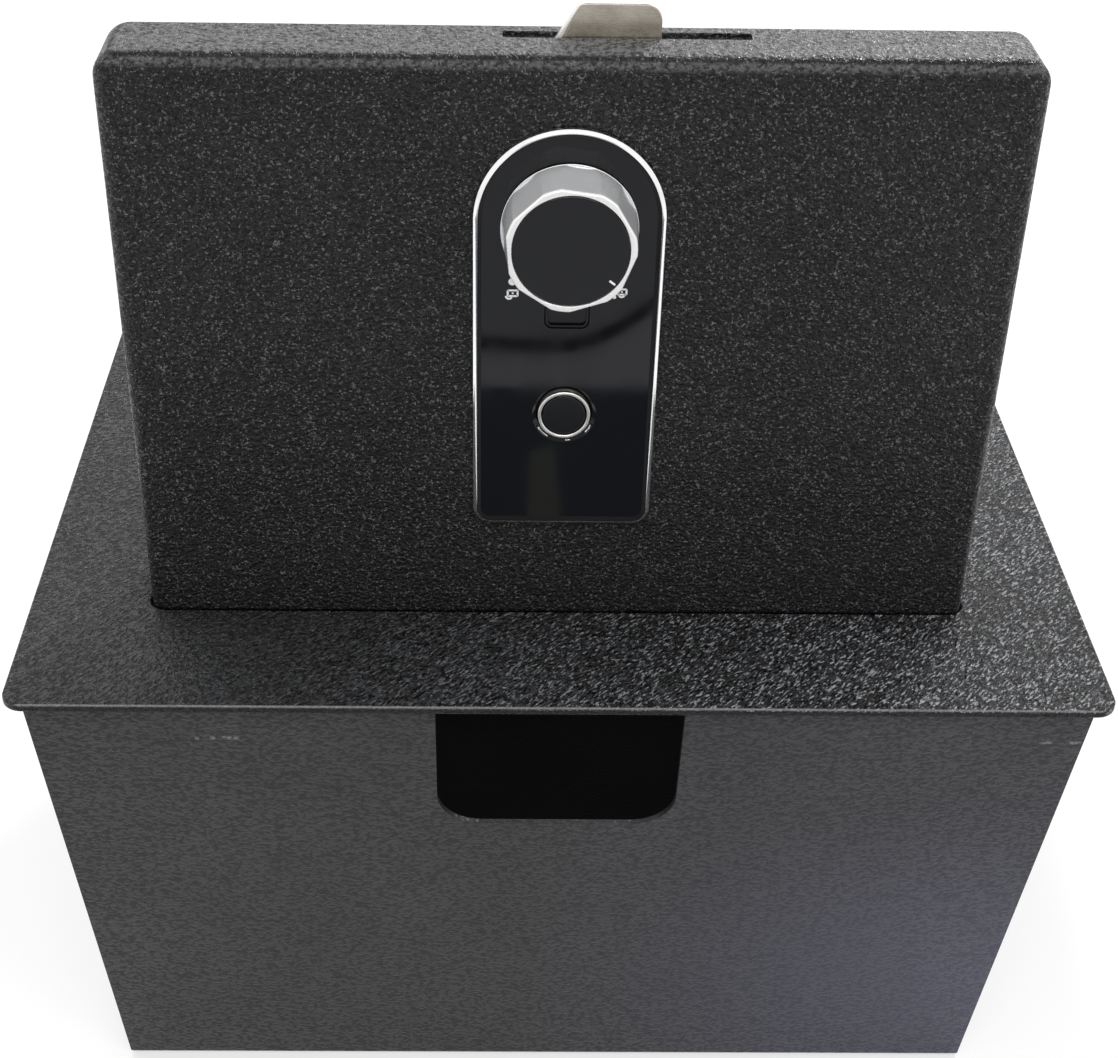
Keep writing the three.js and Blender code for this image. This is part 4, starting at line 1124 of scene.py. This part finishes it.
# The cards that the glossy panel and the lid's face reflect: in metres, their rear edges and the edge
# of the bright band, then name, height in millimetres, outline and colour
CARD_REAR, CARD_NEAR_END, BAND_END, FAR_END = -0.33, -0.539, -0.8, -1.6
CARD_EDGE = [(-0.9, -0.600), (-0.03, -0.592), (0.006, -0.588), (0.023, -0.590), (0.037, -0.597),
             (0.052, -0.612), (0.068, -0.634), (0.11, -0.70)]
CARD_LINE_WIDTH = 0.017
FLOOR_CARDS = (
    ("card_near", 2, rectangle(0.75, CARD_REAR, CARD_NEAR_END), (0.07, 0.085, 0.11)),
    ("card_streak", 3, [(-0.005, CARD_REAR), (0.0155, CARD_REAR), (0.012, -0.478), (-0.001, -0.47)],
     (0.22, 0.24, 0.2)),
    ("card_line", 5, CARD_EDGE + [(x, y + CARD_LINE_WIDTH) for x, y in CARD_EDGE[::-1]],
     (0.012, 0.01, 0.012)),
    ("card_band", 2, rectangle(0.9, CARD_NEAR_END, BAND_END), (0.62, 0.62, 0.68)),
    ("card_far", 3, CARD_EDGE + [(0.9, BAND_END), (0.9, FAR_END), (-0.9, FAR_END)], (0.44, 0.45, 0.48)),
)


def rays_that_see_white(tree):
    """1 for camera, glossy and transmission rays, else 0."""
    rays = new_node(tree, "LightPath").outputs
    seen = calculated(tree, "MAXIMUM", rays["Is Camera Ray"], rays["Is Glossy Ray"])
    return calculated(tree, "MAXIMUM", seen, rays["Is Transmission Ray"])


def sheet_on_stage(name, points, material):
    mesh = bpy.data.meshes.new(name)
    mesh.from_pydata(points, [], [tuple(range(len(points)))])
    mesh.materials.append(material)
    thing = placed(name, mesh)
    return thing


def add_floor():
    """White to the camera and in reflections, with the part's shadow, and greyer as a source of light."""
    material = bpy.data.materials.new("floor")
    material.use_nodes = True
    tree = material.node_tree
    tree.nodes.clear()
    plain = new_node(tree, "BsdfDiffuse", Color=(0.82, 0.82, 0.82, 1)).outputs[0]
    half = new_node(tree, "BsdfDiffuse", Color=(0.5, 0.5, 0.5, 1)).outputs[0]
    glow = new_node(tree, "Emission", Color=(0.55, 0.55, 0.55, 1)).outputs[0]
    lifted = fed(new_node(tree, "AddShader"), half, glow)
    mixed = fed(new_node(tree, "MixShader"), rays_that_see_white(tree), plain, lifted)
    new_node(tree, "OutputMaterial", Surface=mixed)
    outline = rectangle(FLOOR_HALF, -FLOOR_HALF, FLOOR_HALF)
    sheet_on_stage("floor", [(x, y, 0) for x, y in outline], material)


def add_card(name, points, colour):
    """A dull card that only glossy rays see."""
    material = bpy.data.materials.new(name)
    material.use_nodes = True
    shader = material.node_tree.nodes["Principled BSDF"]
    plug(shader.inputs["Base Color"], (*colour, 1))
    plug(shader.inputs["Roughness"], 1)
    card = sheet_on_stage(name, points, material)
    card.visible_camera = card.visible_shadow = card.visible_diffuse = False


def add_cards():
    for name, height, outline, colour in FLOOR_CARDS:
        add_card(name, [(x, y, height * MM) for x, y in outline], colour)
    add_card("card_back", [(x, FAR_END, z) for x, z in rectangle(0.9, 0, 1.2)], (0.4, 0.4, 0.42))
    add_card("card_above", [(x, y, 2.0) for x, y in rectangle(1.6, -0.7, 0.75)], (0.12, 0.12, 0.12))


def add_lamp(name, place, target, size, power):
    data = bpy.data.lights.new(name, "AREA")
    data.shape = "RECTANGLE"
    data.size, data.size_y = size
    data.energy = power
    lamp = placed(name, data)
    lamp.location = place
    lamp.rotation_mode = "QUATERNION"
    lamp.rotation_quaternion = (Vector(target) - Vector(place)).to_track_quat("-Z", "Y")
    return lamp


def add_light():
    world = bpy.data.worlds.new("surroundings")
    bpy.context.scene.world = world
    world.use_nodes = True
    background = world.node_tree.nodes["Background"].inputs
    strength = new_node(world.node_tree, "MapRange", Value=rays_that_see_white(world.node_tree),
                        To_Min=0.62, To_Max=1.0)
    plug(background["Color"], (1, 1, 1, 1))
    plug(background["Strength"], strength.outputs[0])
    top = add_lamp("top_light", (-0.35, 0.1, 1.8), (0, 0, 0.15), (0.4, 0.4), 9)
    top.visible_glossy = False
    add_lamp("rear_light", (0.75, 1.3, 1.15), (0.05, 0, 0.15), (0.35, 0.35), 12)
    add_lamp("front_light", (0.1, -0.95, 1.33), (0, -0.08, 0.35), (1.5, 0.12), 7)


def add_camera():
    yaw, pitch, roll = (math.radians(angle) for angle in (CAMERA_YAW, CAMERA_PITCH, CAMERA_ROLL))
    data = bpy.data.cameras.new("camera")
    data.sensor_width = SENSOR_WIDTH
    data.lens = FOCAL_PIXELS / IMAGE_WIDTH * SENSOR_WIDTH
    data.shift_x = (IMAGE_WIDTH / 2 - CENTRE_PIXEL[0]) / IMAGE_WIDTH
    data.shift_y = (CENTRE_PIXEL[1] - IMAGE_HEIGHT / 2) / IMAGE_WIDTH
    data.clip_start, data.clip_end = 0.01, 50
    camera = placed("camera", data)
    turn = Matrix.Rotation(-yaw, 4, "Z") @ Matrix.Rotation(math.pi / 2 - pitch, 4, "X")
    turn = turn @ Matrix.Rotation(-roll, 4, "Z")
    camera.matrix_world = Matrix.Translation(Vector(CAMERA_PLACE) * MM) @ turn
    bpy.context.scene.camera = camera


add_camera()
add_floor()
add_cards()
add_light()
bpy.context.scene.view_settings.view_transform = "Standard"

add_top_plate()
add_body_wrap()
for side in SIDES:
    refine(f"side_panel_{side}", SHEET_EDGE, COATS["wall"])
add_floor_mat()
for node, width in (("keeper_angle", 0.45), ("lid_rest_left", 0.4), ("lid_rest_right", 0.4),
                    ("hinge_rail", 0.4)):
    refine(node, width, COATS["inner"])
for side in SIDES:
    refine(f"rest_bumper_{side}", 0.5, segments=3)
for node in ("hinge_fixed_leaf", "hinge_moving_leaf"):
    refine(node, 0.22, COATS["inner"])
refine("hinge_pin", 0.35, segments=3)
add_rivets()
add_lid_shell()
add_bezel()
add_faceplate()
add_port()
add_reader()
add_knob()
add_knob_cap()
add_legends()
add_tongue()
add_screws()
for index in range(1, 5):
    refine(f"battery_cell_{index}", 0.35, segments=3)
for node, width in (("lock_housing", 0.5), ("battery_cover", 0.4), ("circuit_board", 0.15),
                    ("solenoid", 0.4), ("contact_plate_lower", 0.12), ("contact_plate_upper", 0.12),
                    ("knob_spindle", 0.2), ("blocking_disc", 0.25), ("tongue_washer", 0.2),
                    ("tongue_nut", 0.35), ("key_plug", 0.2), ("plunger", 0.3)):
    refine(node, width)
add_welds()
add_cover_ridges()
